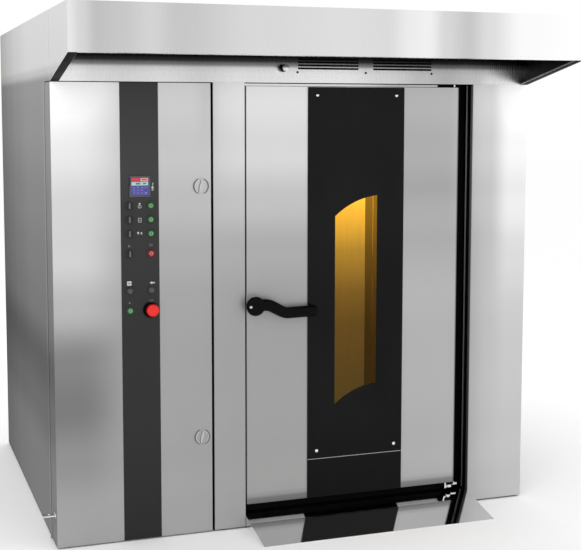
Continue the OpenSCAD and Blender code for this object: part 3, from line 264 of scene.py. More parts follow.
# Painted shadow of the hood darkens the fascia's top; painted reflections lighten and darken it
# along X.
FASCIA_SHADE_Z = [(2130, 238), (2150, 242), (2176, 250), (2194, 252), (2214, 156), (2232, 70),
            (2250, 40)]
FASCIA_REFLECTIONS_X = [(-1200, 1.0), (-1100, 0.92), (-1000, 0.66), (-880, 0.62), (-700, 0.67), (-510, 0.6),
            (-320, 0.7), (200, 0.74), (420, 0.62), (620, 0.48), (740, 0.42), (900, 0.51),
            (1000, 0.7), (1100, 1.0), (1200, 1.0)]
FASCIA_GAIN, FASCIA_MOST = 1.36, 1.05
# Painted shade on the sides: darkest at middle height, lighter at the top and towards the front.
SIDE_SHADE_Z = [(0, 130), (330, 125), (575, 108), (820, 95), (1070, 118), (1310, 124), (1560, 131),
          (1960, 144), (2130, 148), (2175, 189), (2210, 206), (2440, 210)]
SIDE_SHADE_Y = [(-500, 1.0), (700, 1.0), (1200, 0.9), (1500, 0.78), (1700, 0.7), (1900, 0.62)]
HINGE_LIFT = 16

front_steel = steel("front_steel", FRONT_SHADE_Z, bands=FRONT_LIGHT_BANDS, metal=0.5, rough=0.38, spec=0.1)
under_steel = steel("under_steel", [(0, 236), (200, 236)], metal=0.0, rough=0.5, spec=0.1)
# Painted shade: this steel darkens towards the floor.
rear_steel = steel("rear_steel", [(0, 128), (900, 138), (1700, 158), (2440, 182)], metal=0.3,
                   rough=0.38, spec=0.1)
hood_steel = steel("hood_steel", [(2100, 255), (2440, 255)], HOOD_REFLECTIONS_X)
fascia_steel = steel("fascia_steel", FASCIA_SHADE_Z,
                     [(x, min(FASCIA_MOST, FASCIA_GAIN * v)) for x, v in FASCIA_REFLECTIONS_X])
side_steel = steel("side_steel", SIDE_SHADE_Z, deep=SIDE_SHADE_Y, metal=0.04, rough=0.45, spec=0.0)
# The hinge and seam steel takes the sides' painted shade, 16 greys lighter.
hinge_steel = steel("hinge_steel", [(z, v + HINGE_LIFT) for z, v in SIDE_SHADE_Z], metal=0.08,
                    rough=0.4, spec=0.0)
roof_steel = steel("roof_steel", [(2400, 196), (2600, 204)], rough=0.22)
# Painted shade: a little darker towards the floor.
plain_steel = steel("plain_steel", [(0, 186), (2600, 206)], rough=0.2)
ramp_steel = steel("ramp_steel", [(0, 242), (60, 246)], rough=0.06, streak=0.012)

liner_steel = surface("liner_steel", tint(214, 206, 188), 0.36, (300, 300, 4), 0.04, 0.03,
                      metal=1.0)
table_steel = surface("table_steel", tint(190, 188, 182), 0.34, 90, 0.06, 0.05, metal=1.0)
bright_steel = surface("bright_steel", tint(226, 226, 228), 0.12, 200, 0.03, 0.02, metal=1.0,
                       rough_spread=0.03)
heat_steel = surface("heat_steel", tint(150, 122, 98), 0.42, (14, 14, 6), 0.22, 0.1, metal=1.0,
                     rough_spread=0.1)
knob_chrome = surface("knob_chrome", tint(240, 240, 242), 0.2, 200, 0.03, 0.02, metal=0.45)
brass = surface("brass", tint(204, 170, 96), 0.24, 260, 0.08, 0.05, metal=1.0)
cast_dark = surface("cast_dark", tint(60, 60, 63), 0.6, 180, 0.25, 0.6, metal=0.6)
chain_dark = surface("chain_dark", tint(48, 47, 45), 0.45, 240, 0.25, 0.3, metal=0.8)
hem_grey = surface("hem_grey", tint(124, 124, 126), 0.4, 200, 0.06, 0.05, metal=0.3, spec=0.2)
# Painted shade: this grey darkens towards the foot.
edge_grey = surface("edge_grey", tint(118, 118, 120), 0.5, 200, 0.06, 0.05, spec=0.1,
                    ramp=("Z", [(60, 0.3), (1100, 0.55), (2130, 1.0)]))
# Near-black for the sheets of painted shade in the gaps.
gap_black = surface("gap_black", (0.0015, 0.0015, 0.0016, 1), 0.6, spec=0.03)
jamb_black = surface("jamb_black", (0.0018, 0.0018, 0.0019, 1), 0.5, 150, 0.15, 0.1, spec=0.04)
seal_rubber = surface("seal_rubber", (0.0018, 0.0018, 0.0018, 1), 0.7, 400, 0.2, 0.3, spec=0.03)
# Black for the sheet of painted shade inside the hood.
shade_black = surface("shade_black", tint(14, 14, 15), 0.4, 40, 0.1, 0.05, spec=0.1)
base_paint = surface("base_paint", (0.02, 0.02, 0.022, 1), 0.5, 220, 0.15, 0.2)
board_paint = surface("board_paint", tint(214, 214, 208), 0.4, 80, 0.05, 0.1)
motor_blue = surface("motor_blue", tint(34, 62, 104), 0.35, 160, 0.12, 0.4)
burner_red = surface("burner_red", tint(158, 26, 22), 0.3, 120, 0.1, 0.25)
wool = surface("wool", tint(196, 172, 108), 0.95, (120, 120, 260), 0.25, 1.0, spec=0.1)
# Painted shade: the strip's black darkens towards the foot.
strip_black = surface("strip_black", WHITE, 0.34, 500, 0.05, 0.05, spec=0.22,
                      ramp=("Z", [(0, grey(34)), (900, grey(38)), (1500, grey(46)),
                                  (1750, grey(58)), (2130, grey(60))]))
black_plastic = surface("black_plastic", (0.008, 0.008, 0.0085, 1), 0.38, 600, 0.15, 0.15,
                        spec=0.35)
grey_plastic = surface("grey_plastic", tint(102, 102, 103), 0.42, 600, 0.1, 0.15, spec=0.3)
dim_plastic = surface("dim_plastic", tint(46, 46, 47), 0.4, 600, 0.1, 0.15, spec=0.2)
frame_plastic = surface("frame_plastic", tint(76, 74, 80), 0.35, 500, 0.1, 0.1)
cap_grey = surface("cap_grey", tint(70, 74, 72), 0.4, 600, 0.1, 0.15, spec=0.3)
handle_black = surface("handle_black", (0.002, 0.002, 0.0021, 1), 0.36, 700, 0.2, 0.25,
                       spec=0.06)
# Painted reflection: the black glass is lighter towards the top.
glass_black = surface("glass_black", (0.0042, 0.0043, 0.0045, 1), 0.08, (3, 3, 1.2), 0.25, 0,
                      spec=0.1, rough_spread=0.02,
                      ramp=("Z", [(100, 0.7), (900, 0.9), (1700, 1.5), (2113, 1.9)]))
white_ink = surface("white_ink", tint(186, 188, 192), 0.5, 500, 0.05, 0)
dim_ink = surface("dim_ink", tint(104, 104, 106), 0.5, 500, 0.05, 0)
stop_red = surface("stop_red", tint(226, 22, 16), 0.32, 260, 0.05, 0.08, spec=0.45)
stop_shade = surface("stop_shade", tint(140, 14, 12), 0.35, 260, 0.05, 0.08, spec=0.3)
floor_white = surface("floor_white", (0.99, 0.99, 0.99, 1), 0.9, 8, 0.004, 0, spec=0.0)


def lens(name, colour, glow=0.05):
    return surface(name, colour, 0.25, 300, 0.08, 0.1, spec=0.4, emission_color=colour,
                   emission_strength=glow)


green_rim = lens("green_rim", tint(18, 54, 24))
green_mid = lens("green_mid", tint(52, 106, 62))
green_pale = lens("green_pale", tint(122, 164, 124))
red_rim = lens("red_rim", tint(84, 14, 18))
red_mid = lens("red_mid", tint(150, 34, 38))
red_pale = lens("red_pale", tint(196, 112, 112))
lamp_amber = lens("lamp_amber", tint(255, 206, 96), 3.0)


def clear_pane(name):
    """Clear glass: mostly see-through, with the gloss of its surface."""
    p = Paint(name)
    base = p.blend((0.02, 0.018, 0.012, 1), p.vary(p.noise((4, 4, 2)), 0.1))
    p.set(base_color=base, roughness=0.04, alpha=0.03, specular_ior_level=0.08)
    return p.mat


def glowing(name, stops):
    """Chamber sheet with the lamp's warm light painted on as a glow, which fades downwards."""
    p = Paint(name)
    grain = p.noise((160, 160, 3), 3.0)
    warm = p.blend(p.ramp("Z", stops, "LINEAR"), p.vary(grain, 0.08, edge=0.25))
    p.set(base_color=p.blend((0.1, 0.08, 0.05, 1), p.vary(grain, 0.05, edge=0.25)),
          roughness=0.35, specular_ior_level=0.2, emission_color=warm, emission_strength=2.25)
    p.bump(grain, 0.03, 0.0005)
    return p.mat


clear_glass = clear_pane("clear_glass")
# Height, colour of the painted lamp light, and the share of it on the faces that look to the
# side, which are painted in shade
AMBER = [(60, (50, 39, 15), 0.168), (300, (54, 42, 16), 0.168), (700, (66, 48, 17), 0.168),
         (900, (85, 62, 21), 0.168), (1150, (126, 94, 30), 0.16), (1400, (190, 140, 42), 0.13),
         (1560, (236, 174, 56), 0.085), (2080, (232, 170, 58), 0.075)]
amber_back = glowing("amber_back", [(z, tint(*c)) for z, c, _ in AMBER])
amber_shaded = glowing("amber_shaded", [(z, (*[v * k for v in tint(*c)[:3]], 1))
                                    for z, c, k in AMBER])


# ---- Shapes ----


def circle(r, n, x=0.0, y=0.0):
    return [(x + r * math.cos(2 * math.pi * i / n), y + r * math.sin(2 * math.pi * i / n))
            for i in range(n)]


def stand(point, place, axis):
    """A point of a flat outline, stood at a place along an axis."""
    v = list(point)
    v.insert("XYZ".index(axis), place)
    return tuple(v)


class Shape:
    """Collects closed solids, given in mm, for one piece."""

    def __init__(self):
        self.verts, self.faces, self.picks, self.pick = [], [], [], 0

    def use(self, pick):
        """Picks the material, by its place in the piece's list, for what is added next."""
        self.pick = pick
        return self

    def add(self, verts, faces):
        base = len(self.verts)
        self.verts += [tuple(v) for v in verts]
        self.faces += [[i + base for i in f] for f in faces]
        self.picks += [self.pick] * len(faces)
        return self

    def box(self, x0, x1, y0, y1, z0, z1):
        v = [(x, y, z) for x in (x0, x1) for y in (y0, y1) for z in (z0, z1)]
        return self.add(v, [(0, 1, 3, 2), (4, 6, 7, 5), (0, 4, 5, 1), (2, 3, 7, 6), (0, 2, 6, 4),
                            (1, 5, 7, 3)])

    def lathe(self, centre, profile, axis="Y", n=48):
        """Turned solid. The profile is (radius, place along the axis); it closes on the axis."""
        verts, rings = [], []
        for r, d in profile:
            if r == 0:
                rings.append([len(verts)])
                verts.append((0, 0, d))
            else:
                rings.append(list(range(len(verts), len(verts) + n)))
                verts += [(*p, d) for p in circle(r, n)]
        faces = []
        for a, b in zip(rings, rings[1:]):
            for i in range(n):
                j = (i + 1) % n
                f = [a[i % len(a)], a[j % len(a)], b[j % len(b)], b[i % len(b)]]
                faces.append(list(dict.fromkeys(f)))
        for ring in (rings[0], rings[-1]):
            if len(ring) > 1 and profile[0] != profile[-1]:
                faces.append(ring)
        turn = {"X": (2, 0, 1), "Y": (0, 2, 1), "Z": (0, 1, 2)}[axis]
        return self.add([tuple(c + v[k] for c, k in zip(centre, turn)) for v in verts],
                        [f for f in faces if len(f) > 2])

    def rod(self, centre, r, d0, d1, axis="Y", n=32):
        return self.lathe(centre, [(r, d0), (r, d1)], axis, n)

    def prism(self, outline, d0, d1, axis="Y"):
        """Outline in the other two axes, in their order, stood up between two places."""
        n = len(outline)
        sides = [(i, (i + 1) % n, (i + 1) % n + n, i + n) for i in range(n)]
        return self.add([stand(p, d, axis) for d in (d0, d1) for p in outline],
                        [list(range(n)), list(range(n, 2 * n))] + sides)

    def folded(self, path, d0, d1, axis, side=1):
        """Bent sheet: the path is its outer line, and side the hand on which it is thick."""
        dirs = [(Vector(b) - Vector(a)).normalized() for a, b in zip(path, path[1:])]
        norms = [Vector((-d.y, d.x)) * side for d in dirs]
        pairs = [(Vector(path[0]), Vector(path[0]) + norms[0] * SHEET)]
        for p, n1, n2 in zip(path[1:-1], norms, norms[1:]):
            c = Vector(p) + (n1 + n2) * BEND / (1 + n1.dot(n2))
            for k in range(4):
                m = n1.lerp(n2, k / 3).normalized()
                pairs.append((c - m * BEND, c - m * (BEND - SHEET)))
        pairs.append((Vector(path[-1]), Vector(path[-1]) + norms[-1] * SHEET))
        faces = []
        for a in range(0, 4 * len(pairs) - 4, 4):
            b = a + 4
            faces += [(a, b, b + 2, a + 2), (a + 1, a + 3, b + 3, b + 1),
                      (a, a + 1, b + 1, b), (a + 2, b + 2, b + 3, a + 3)]
        last = 4 * len(pairs) - 4
        faces += [(0, 2, 3, 1), (last, last + 1, last + 3, last + 2)]
        return self.add([stand(p, d, axis) for pair in pairs for d in (d0, d1) for p in pair],
                        faces)

    def sweep(self, path, section, up=(0, 1, 0)):
        """Closed tube through rings: section(share) gives (across, up) points at each place."""
        pts = [Vector(p) for p in path]
        up = Vector(up)
        rings = []
        for i, p in enumerate(pts):
            d = (pts[min(i + 1, len(pts) - 1)] - pts[max(i - 1, 0)]).normalized()
            a = d.cross(up).normalized()
            rings.append([p + a * s + up * t for s, t in section(i / (len(pts) - 1))])
        n = len(rings[0])
        verts = [v for ring in rings for v in ring]
        faces = [(k * n + i, k * n + (i + 1) % n, (k + 1) * n + (i + 1) % n, (k + 1) * n + i)
                 for k in range(len(rings) - 1) for i in range(n)]
        faces += [list(range(n)), list(range(len(verts) - n, len(verts)))]
        return self.add(verts, faces)

    def tube(self, path, r, n=12):
        d = (Vector(path[-1]) - Vector(path[0])).normalized()
        up = (0, 0, 1) if abs(d.z) < 0.8 else (0, 1, 0)
        return self.sweep(path, lambda share: circle(r, n), up)

    def make(self, name, mats, body, slot, replaces=(), bevel=0.0, sharp=22):
        me = bpy.data.meshes.new(name)
        me.from_pydata([at(*v) for v in self.verts], [], self.faces)
        for m in mats if isinstance(mats, list) else [mats]:
            me.materials.append(m)
        me.polygons.foreach_set("material_index", self.picks)
        return settle(name, me, body, replaces, bevel, sharp, 1e-6)


EDGE_ANGLE, FLAT_ANGLE, SIDEWAYS = math.radians(32), math.radians(0.4), 0.7


def settle(name, me, body, replaces, bevel, sharp, weld):
    """Turns a mesh into a piece: normals, small bevels on its edges, shading and body."""
    bm = bmesh.new()
    bm.from_mesh(me)
    bmesh.ops.remove_doubles(bm, verts=bm.verts, dist=weld)
    bmesh.ops.recalc_face_normals(bm, faces=bm.faces)
    if bevel:
        edges = [e for e in bm.edges if e.is_manifold and e.calc_face_angle(0) > EDGE_ANGLE]
        bmesh.ops.bevel(bm, geom=edges, offset=bevel / 1000, segments=2, profile=0.5,
                        affect="EDGES", clamp_overlap=True)
    bm.to_mesh(me)
    bm.free()
    me.shade_smooth()
    me.set_sharp_from_angle(angle=math.radians(sharp))
    ob = placed(name, me)
    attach(ob, body)
    if replaces:
        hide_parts(*replaces)
    return ob


def from_cad(node, mat, body, bevel=0.6):
    """A copy of a CAD node with its flats made whole and its edges broken."""
    me = NODES[node].data.copy()
    me.name = node + "_dressed"
    me.materials.clear()
    me.materials.append(mat)
    bm = bmesh.new()
    bm.from_mesh(me)
    bmesh.ops.remove_doubles(bm, verts=bm.verts, dist=2e-6)
    if bevel:
        bmesh.ops.dissolve_limit(bm, angle_limit=FLAT_ANGLE, verts=bm.verts, edges=bm.edges,
                                 delimit={"NORMAL"})
    for f in bm.faces:
        f.material_index = 0
    bm.to_mesh(me)
    bm.free()
    return settle(me.name, me, body, (node,), bevel, 20, 2e-6)


def dress(mat, *names, sides=None):
    """Materials for CAD nodes that stay in sight. sides goes on faces to the left and right."""
    for n in names:
        me = NODES[n].data
        me.materials.clear()
        me.materials.append(mat)
        if sides:
            me.materials.append(sides)
        for f in me.polygons:
            f.material_index = 1 if sides and abs(f.normal.x) > SIDEWAYS else 0


# ---- Camera, light and floor ----

YAW, PITCH = math.radians(19.04), math.radians(5.35)
WIDE, TALL, SENSOR = 581, 550, 36
FOCAL, CENTRE_X, CENTRE_Y = 1205.1, 276.8, 226.3
cam_data = bpy.data.cameras.new("camera")
cam = placed("camera", cam_data)
cam.location = at(-1995.97, -5379.22, 1986.53)
look = Vector((math.sin(YAW) * math.cos(PITCH), math.cos(YAW) * math.cos(PITCH),
               -math.sin(PITCH)))
cam.rotation_euler = look.to_track_quat("-Z", "Y").to_euler()
cam_data.sensor_width = SENSOR
cam_data.lens = FOCAL * SENSOR / WIDE
cam_data.shift_x = (WIDE / 2 - CENTRE_X) / WIDE
cam_data.shift_y = (CENTRE_Y - TALL / 2) / WIDE
bpy.context.scene.camera = cam
bpy.context.scene.view_settings.view_transform = "Standard"

world = bpy.data.worlds.new("studio")
bpy.context.scene.world = world
world.use_nodes = True
background = world.node_tree.nodes["Background"]
background.inputs["Color"].default_value = WHITE
background.inputs["Strength"].default_value = 1.0

for name, place, aim, power in (("key", (-3200, -4200, 4800), (0, 0, 900), 60),
                                ("fill", (4200, -3600, 3800), (0, 400, 900), 30),
                                ("back_fill", (0, 5600, 4200), (0, 900, 900), 40)):
    data = bpy.data.lights.new(name, "AREA")
    data.shape, data.size, data.energy = "SQUARE", 3.0, power
    lamp = placed(name, data)
    lamp.location = at(*place)
    lamp.rotation_euler = (at(*aim) - at(*place)).to_track_quat("-Z", "Y").to_euler()
    lamp.visible_glossy = False

floor = placed("floor", bpy.data.meshes.new("floor"))
floor.data.from_pydata([(-40, -40, 0), (40, -40, 0), (40, 40, 0), (-40, 40, 0)], [],
                       [(0, 1, 2, 3)])
floor.data.materials.append(floor_white)

# ---- Casing ----

from_cad("base_frame", base_paint, "oven", 1.0)
sides = from_cad("side_panels", side_steel, "oven")
sides.data.materials.append(rear_steel)
for f in sides.data.polygons:
    f.material_index = int(f.center.x > 0)
for node, mat in (("rear_panel", rear_steel), ("roof_panel", roof_steel),
                  ("front_pillars", front_steel), ("drive_deck", plain_steel)):
    from_cad(node, mat, "oven")
from_cad("door_jamb", jamb_black, "oven", 0.8)
from_cad("ramp", ramp_steel, "oven", 0)

# The fascia is laid out of tiles round its slots and the damper's hole.
SLOT_X, SLOTS, SLOT_PITCH, SLOT_HALF = ((-34, 275), (352, 661)), 4, 14.5, 4.4
TILE, HOLE_R, EASE = 20, 8.3, 0.004
fascia = Shape()


def tile(x0, x1, z0=SEAM, z1=TOP - SHEET):
    fascia.box(x0 + EASE, x1 - EASE, 0, SHEET, z0 + EASE, z1 - EASE)


def holed(x, z, half, r, n=32):
    """A square of sheet with a round hole."""
    rings = []
    for y in (0, SHEET):
        for square in (False, True):
            rings.append([])
            for c, d in circle(1, n):
                reach = (half - EASE) / max(abs(c), abs(d)) if square else r
                rings[-1].append((x + reach * c, y, z + reach * d))
    faces = []
    for a, b in ((0, 1), (2, 3), (0, 2), (1, 3)):
        faces += [(a * n + k, a * n + (k + 1) % n, b * n + (k + 1) % n, b * n + k)
                  for k in range(n)]
    fascia.add([v for ring in rings for v in ring], faces)


tile(LEFT, DAMPER_X - TILE)
tile(DAMPER_X - TILE, DAMPER_X + TILE, SEAM, DAMPER_Z - TILE)
tile(DAMPER_X - TILE, DAMPER_X + TILE, DAMPER_Z + TILE)
holed(DAMPER_X, DAMPER_Z, TILE, HOLE_R)
tile(DAMPER_X + TILE, SLOT_X[0][0])
tile(SLOT_X[0][1], SLOT_X[1][0])
tile(SLOT_X[1][1], RIGHT)
for x0, x1 in SLOT_X:
    low = SEAM
    for i in range(SLOTS):
        z = DAMPER_Z + i * SLOT_PITCH
        tile(x0, x1, low, z - SLOT_HALF)
        low = z + SLOT_HALF
    tile(x0, x1, low)
fascia.box(POST_X0, RIGHT - SHEET, SHEET + 0.02, RECESS_D, SEAM, SEAM + SHEET)
fascia.make("fascia_sheet", fascia_steel, "oven", "brushed_steel", ("top_fascia",))

sill = Shape()
sill.prism([(0.1, 57), (22, 61), (22, 64.6), (0.1, 60)], POST_X1, RECESS_X1, "X")
sill.use(1).box(POST_X1, RECESS_X1, 22.2, 82, SILL_Z, SILL_Z + 4)
sill.make("threshold", [ramp_steel, seal_rubber], "oven", "brushed_steel")

hood = Shape()
hood.folded([(-HOOD_OUT + GUTTER, HOOD_Z0), (-HOOD_OUT, HOOD_Z0), (-HOOD_OUT, TOP), (0, TOP)],
            LEFT + SHEET, RIGHT - SHEET, "X", -1)
for x0, g0, g1, pick in ((LEFT, LEFT + SHEET, LEFT + SHEET + GUTTER, 1),
                         (RIGHT - SHEET, RIGHT - SHEET - GUTTER, RIGHT - SHEET, 3)):
    hood.use(pick).prism([(-HOOD_OUT, HOOD_Z0), (-HOOD_OUT, TOP), (0, TOP), (0, SEAM)], x0,
                         x0 + SHEET, "X")
    # The gutters under the cheeks are black as painted shade.
    hood.use(2).prism([(-HOOD_OUT + SHEET, HOOD_Z0), (0, SEAM), (0, SEAM + SHEET),
                       (-HOOD_OUT + SHEET, HOOD_Z0 + SHEET)], g0, g1, "X")
hood.make("hood_shell", [hood_steel, side_steel, jamb_black, rear_steel], "oven",
          "brushed_steel", ("hood_canopy",), 0.6)

# A dark sheet of painted shade inside the hood lies between these two distances from the hood's
# outer faces.
NEAR, FAR = 2.5, 4
under_hood_shade = Shape()
under_hood_shade.box(LEFT + NEAR, RIGHT - NEAR, -HOOD_OUT + NEAR, -HOOD_OUT + FAR, HOOD_Z0 + 3, TOP - FAR)
under_hood_shade.box(LEFT + NEAR, RIGHT - NEAR, -HOOD_OUT + FAR, -1, TOP - 5.5, TOP - FAR)
for x0 in (LEFT + NEAR, RIGHT - FAR):
    under_hood_shade.prism([(-HOOD_OUT + FAR, HOOD_Z0 + 5), (-HOOD_OUT + FAR, TOP - 5), (-1, TOP - 5),
                  (-1, SEAM + 5)], x0, x0 + FAR - NEAR, "X")
under_hood_shade.make("hood_shade_sheet", shade_black, "oven", "strip_black")

hem = Shape()
hem.tube([(x, -HOOD_OUT + GUTTER, HOOD_Z0 + 3.5) for x in (LEFT + GUTTER, RIGHT - GUTTER)], 2)
for x in (LEFT + SHEET + GUTTER - 1, RIGHT - SHEET - GUTTER + 1):
    hem.tube([(x, -HOOD_OUT + GUTTER, HOOD_Z0 - 4.5), (x, -3, SEAM + 4)], 2)
hem.make("hood_hems", hem_grey, "oven", "brushed_steel")

TRIM_X1, TRIM_Z1 = 697, SEAM - 4.5
# Black sheets of painted shade in the gaps, behind the fascia's slots and on the recess's return.
gaps = Shape()
for x0, x1 in SLOT_X:
    gaps.box(x0 - 8, x1 + 8, 4, 6, DAMPER_Z - 10, DAMPER_Z + 54)
gaps.box(SERVICE_X1 + 1, POST_X0, 5, 15, FOOT, SERVICE_Z1)
gaps.box(POST_X1, POST_X1 + 5.5, 8, 40, SILL_Z, DOOR_Z1)
gaps.box(LEFT + 4, POST_X0, 6, 30, SERVICE_Z1 + 0.6, SEAM)
gaps.box(POST_X1, RECESS_X1, 6, 34, TRIM_Z1, SEAM)
gaps.box(POST_X1, TRIM_X1, 8, 34, DOOR_Z1 + 2, TRIM_Z1)
gaps.box(RECESS_X1 - 1.2, RECESS_X1, 24, RECESS_D, SILL_Z, SEAM)
gaps.make("gap_shade", gap_black, "oven", "seal_rubber")

trim = Shape()
trim.box(POST_X1 + 1, TRIM_X1, 1, 8, DOOR_Z1 + 2, TRIM_Z1)
trim.use(1).box(RECESS_X1 - 8, RECESS_X1 - 1.2, 56, 58.5, SILL_Z + 7, SEAM - 2)
trim.box(RECESS_X1 - 1.2, RECESS_X1, 3, 23.5, SILL_Z, SEAM)
trim.make("front_trims", [front_steel, edge_grey], "oven", "brushed_steel", bevel=0.4)

seam = Shape()
seam.box(LEFT - 0.8, LEFT, 19, 22, SEAM + 28, TOP - 2)
seam.make("side_seams", hinge_steel, "oven", "brushed_steel")

screws = Shape()
for x in (-36, 313, 663):
    screws.lathe((x, 0, 2180), [(0, -2), (3.6, -1.9), (5.6, -0.8), (5.9, 0.5), (0, 0.5)], n=24)
screws.make("fascia_screws", black_plastic, "oven", "black_plastic")

# ---- Hinges of the baking door ----

pivot = Shape()
pivot.box(HINGE_X - 90, HINGE_X + 30, 3, RECESS_D, DOOR_Z1 + 1.6, SEAM - 0.5)
pivot.make("door_pivot_top", jamb_black, "oven", "jamb_dark", ("door_pivots",), 0.8)
pin = Shape()
pin.rod((HINGE_X - 9, 2, 0), 4.5, DOOR_Z1 + 2, DOOR_Z1 + 15, "Z", 20)
pin.make("door_pivot_pin", bright_steel, "oven", "bright_steel", bevel=0.6)
pivot = Shape()
pivot.box(HINGE_X - 16, HINGE_X + 50, 30, RECESS_D, 90, 100)
pivot.lathe((HINGE_X, HINGE_Y, 0), [(0, 84), (13, 84), (15.5, 86), (15.5, 106), (13.5, 109),
                                    (8, 110), (0, 110)], "Z", 40)
for y in (44, 70):
    pivot.lathe((HINGE_X + 38, y, 0), [(0, 104), (5, 103.5), (6, 100), (0, 100)], "Z", 6)
pivot.make("door_pivot_foot", bright_steel, "oven", "bright_steel", bevel=0.8)
block = Shape()
block.box(HINGE_X - 34, HINGE_X - 26, 3, 40, 85, 114)
block.use(1).box(HINGE_X - 26, HINGE_X - 16.5, 8, 40, 86, 113)
block.make("door_hinge_block", [bright_steel, plain_steel], "baking_door", "bright_steel",
           bevel=1.2)

# ---- Roof and back ----

for x, y, r, z0, z1, name in ((81, PIPE_Y, 100, 1800, 2560, "flue_collar"),
                              (DAMPER_X, FLAP_Y, 82, 2080, 2500, "steam_collar")):
    collar = Shape()
    collar.lathe((x, y, 0), [(r - 4, z0), (r - 2, z0), (r - 2, TOP), (r + 30, TOP),
                             (r + 30, TOP + 3), (r + 3, TOP + 3), (r, TOP + 6), (r, z1 - 12),
                             (r + 2.5, z1 - 9), (r + 2.5, z1 - 6), (r, z1 - 3), (r - 1, z1),
                             (r - 3, z1), (r - 4, z1 - 1), (r - 4, z0)], "Z", 72)
    for sx, sy in circle(r + 18, 6, x, y):
        collar.lathe((sx, sy, 0), [(0, TOP + 8), (5, TOP + 7.5), (6, TOP + 3), (0, TOP + 3)],
                     "Z", 6)
    collar.make(name, plain_steel, "oven", "brushed_steel", ("roof_collars",))

thread = [(9.2, 3)]
for k in range(11):
    thread += [(10.5, 5 + k * 3), (9.4, 6.5 + k * 3)]
water, cable = (PIPE_X, BODY_D, WATER_Z), (PIPE_X, BODY_D, CABLE_Z)
inlets = Shape()
inlets.rod(water, 10.5, PIPE_Y - BODY_D, 3)
inlets.lathe(water, [(0, 0), (24.5, 0), (24.5, 2), (23, 3), (0, 3)])
inlets.lathe(water, [(0, 3), *thread, (9.4, 40), (7, 40), (7, 25), (0, 25)])
inlets.lathe((PIPE_X, PIPE_Y, 0), [(0, WATER_Z - 59.7), (10.5, WATER_Z - 59.7),
                                   (10.5, WATER_Z), (0, WATER_Z + 10)], "Z")
inlets.lathe(cable, [(0, -22), (20, -22), (20, 0), (0, 0)])
inlets.lathe(cable, [(0, 0), (28, 0), (28, 11), (26, 12), (0, 12)], n=6)
inlets.lathe(cable, [(0, 12), (20, 12), (20, 21), (14, 25), (8, 25), (8, 18), (0, 18)])
inlets.make("rear_connections", brass, "oven", "brass", ("rear_inlets",), sharp=25)

back = Shape()
for x in (-1180, -600, 0, 600, 1180):
    for z in (40, 640, 1240, 1840, 2410):
        back.lathe((x, BODY_D, z), [(0, 2.4), (3, 2.2), (5, 0.8), (5.2, 0), (0, 0)], n=20)
for x in (-600, 600):
    for x0 in (x - 16, x + 14.5):
        back.box(x0, x0 + 1.5, BODY_D, BODY_D + 0.7, 12, TOP - 6)
back.make("rear_screws", bright_steel, "oven", "bright_steel")

# ---- Hinge of the service door ----

PIN_X, PIN_Y, LEAF_X, KNUCKLES = LEFT - 4.5, 142, LEFT - 1.2, 13
STEP = (SERVICE_Z1 - FOOT) / KNUCKLES


def knuckles(shape, first, y0, y1):
    """Every other knuckle, each with its tongue to the leaf between two depths."""
    for i in range(first, KNUCKLES, 2):
        z0 = FOOT + i * STEP + 0.3
        z1 = z0 + STEP - 0.6
        shape.lathe((PIN_X, PIN_Y, 0), [(1.6, z0), (3.5, z0), (4, z0 + 0.6), (4, z1 - 0.6),
                                        (3.5, z1), (1.6, z1), (1.6, z0)], "Z", 24)
        shape.box(LEAF_X, LEFT, y0, y1, z0, z1)


leaf = Shape()
leaf.box(LEAF_X, LEFT, 145, 162, FOOT, SERVICE_Z1)
knuckles(leaf, 0, 142, 146)
leaf.rod((PIN_X, PIN_Y, 0), 1.5, FOOT, SERVICE_Z1, "Z", 16)
for k in range(14):
    leaf.lathe((LEAF_X, 154, 80 + k * 150), [(0, -1), (3, -0.6), (3.6, 0), (0, 0)], "X", 16)
leaf.make("service_hinge_leaf", hinge_steel, "oven", "bright_steel", ("service_hinge",))

# ---- Service door ----

door = Shape()
door.folded([(LEFT, RETURN_D), (LEFT, 0), (SERVICE_X1, 0), (SERVICE_X1, 40)], FOOT, SERVICE_Z1,
            "Z")
for z in (FOOT, SERVICE_Z1 - SHEET):
    door.box(LEFT + SHEET, SERVICE_X1 - SHEET, SHEET, 40, z, z + SHEET)
skin = door.make("service_door_skin", [front_steel, side_steel], "service_door",
                 "brushed_steel", ("service_door_panel",))
for f in skin.data.polygons:
    f.material_index = int(f.normal.x < -SIDEWAYS and f.center.x < at(LEFT + 1, 0, 0).x)

leaf = Shape()
leaf.box(LEAF_X, LEFT, 118, 139, FOOT, SERVICE_Z1)
knuckles(leaf, 1, 138, 142)
leaf.make("door_hinge_leaf", hinge_steel, "service_door", "brushed_steel")

strip = Shape()
strip.box(STRIP_X - STRIP_W / 2, STRIP_X + STRIP_W / 2, -STRIP_T, 0, FOOT, SERVICE_Z1)
strip.make("control_strip_sheet", strip_black, "service_door", "strip_black",
           ("control_strip",), 0.5)

from_cad("service_door_lug", bright_steel, "service_door", 1.0)


# Display: a frame with a screen of plain coloured fields
def border(x0, x1, z0, z1, w):
    """The four bars of a frame, each as (x0, x1, z0, z1)."""
    return [(x0, x1, z1 - w, z1), (x0, x1, z0, z0 + w), (x0, x0 + w, z0 + w, z1 - w),
            (x1 - w, x1, z0 + w, z1 - w)]


x0, x1 = STRIP_X - DISPLAY_W / 2, STRIP_X + DISPLAY_W / 2
z0, z1 = DISPLAY_Z - DISPLAY_W / 2, DISPLAY_Z + DISPLAY_W / 2
disp = Shape()
for bx0, bx1, bz0, bz1 in border(x0, x1, z0, z1, DISPLAY_RIM):
    disp.box(bx0, bx1, -7, -STRIP_T, bz0, bz1)
disp.box(x0 + 3, x1 - 3, -STRIP_T, 60, z0 + 3, z1 - 3)
disp.make("display_frame", frame_plastic, "service_door", "display_plastic",
          ("display_unit",), 1.2)

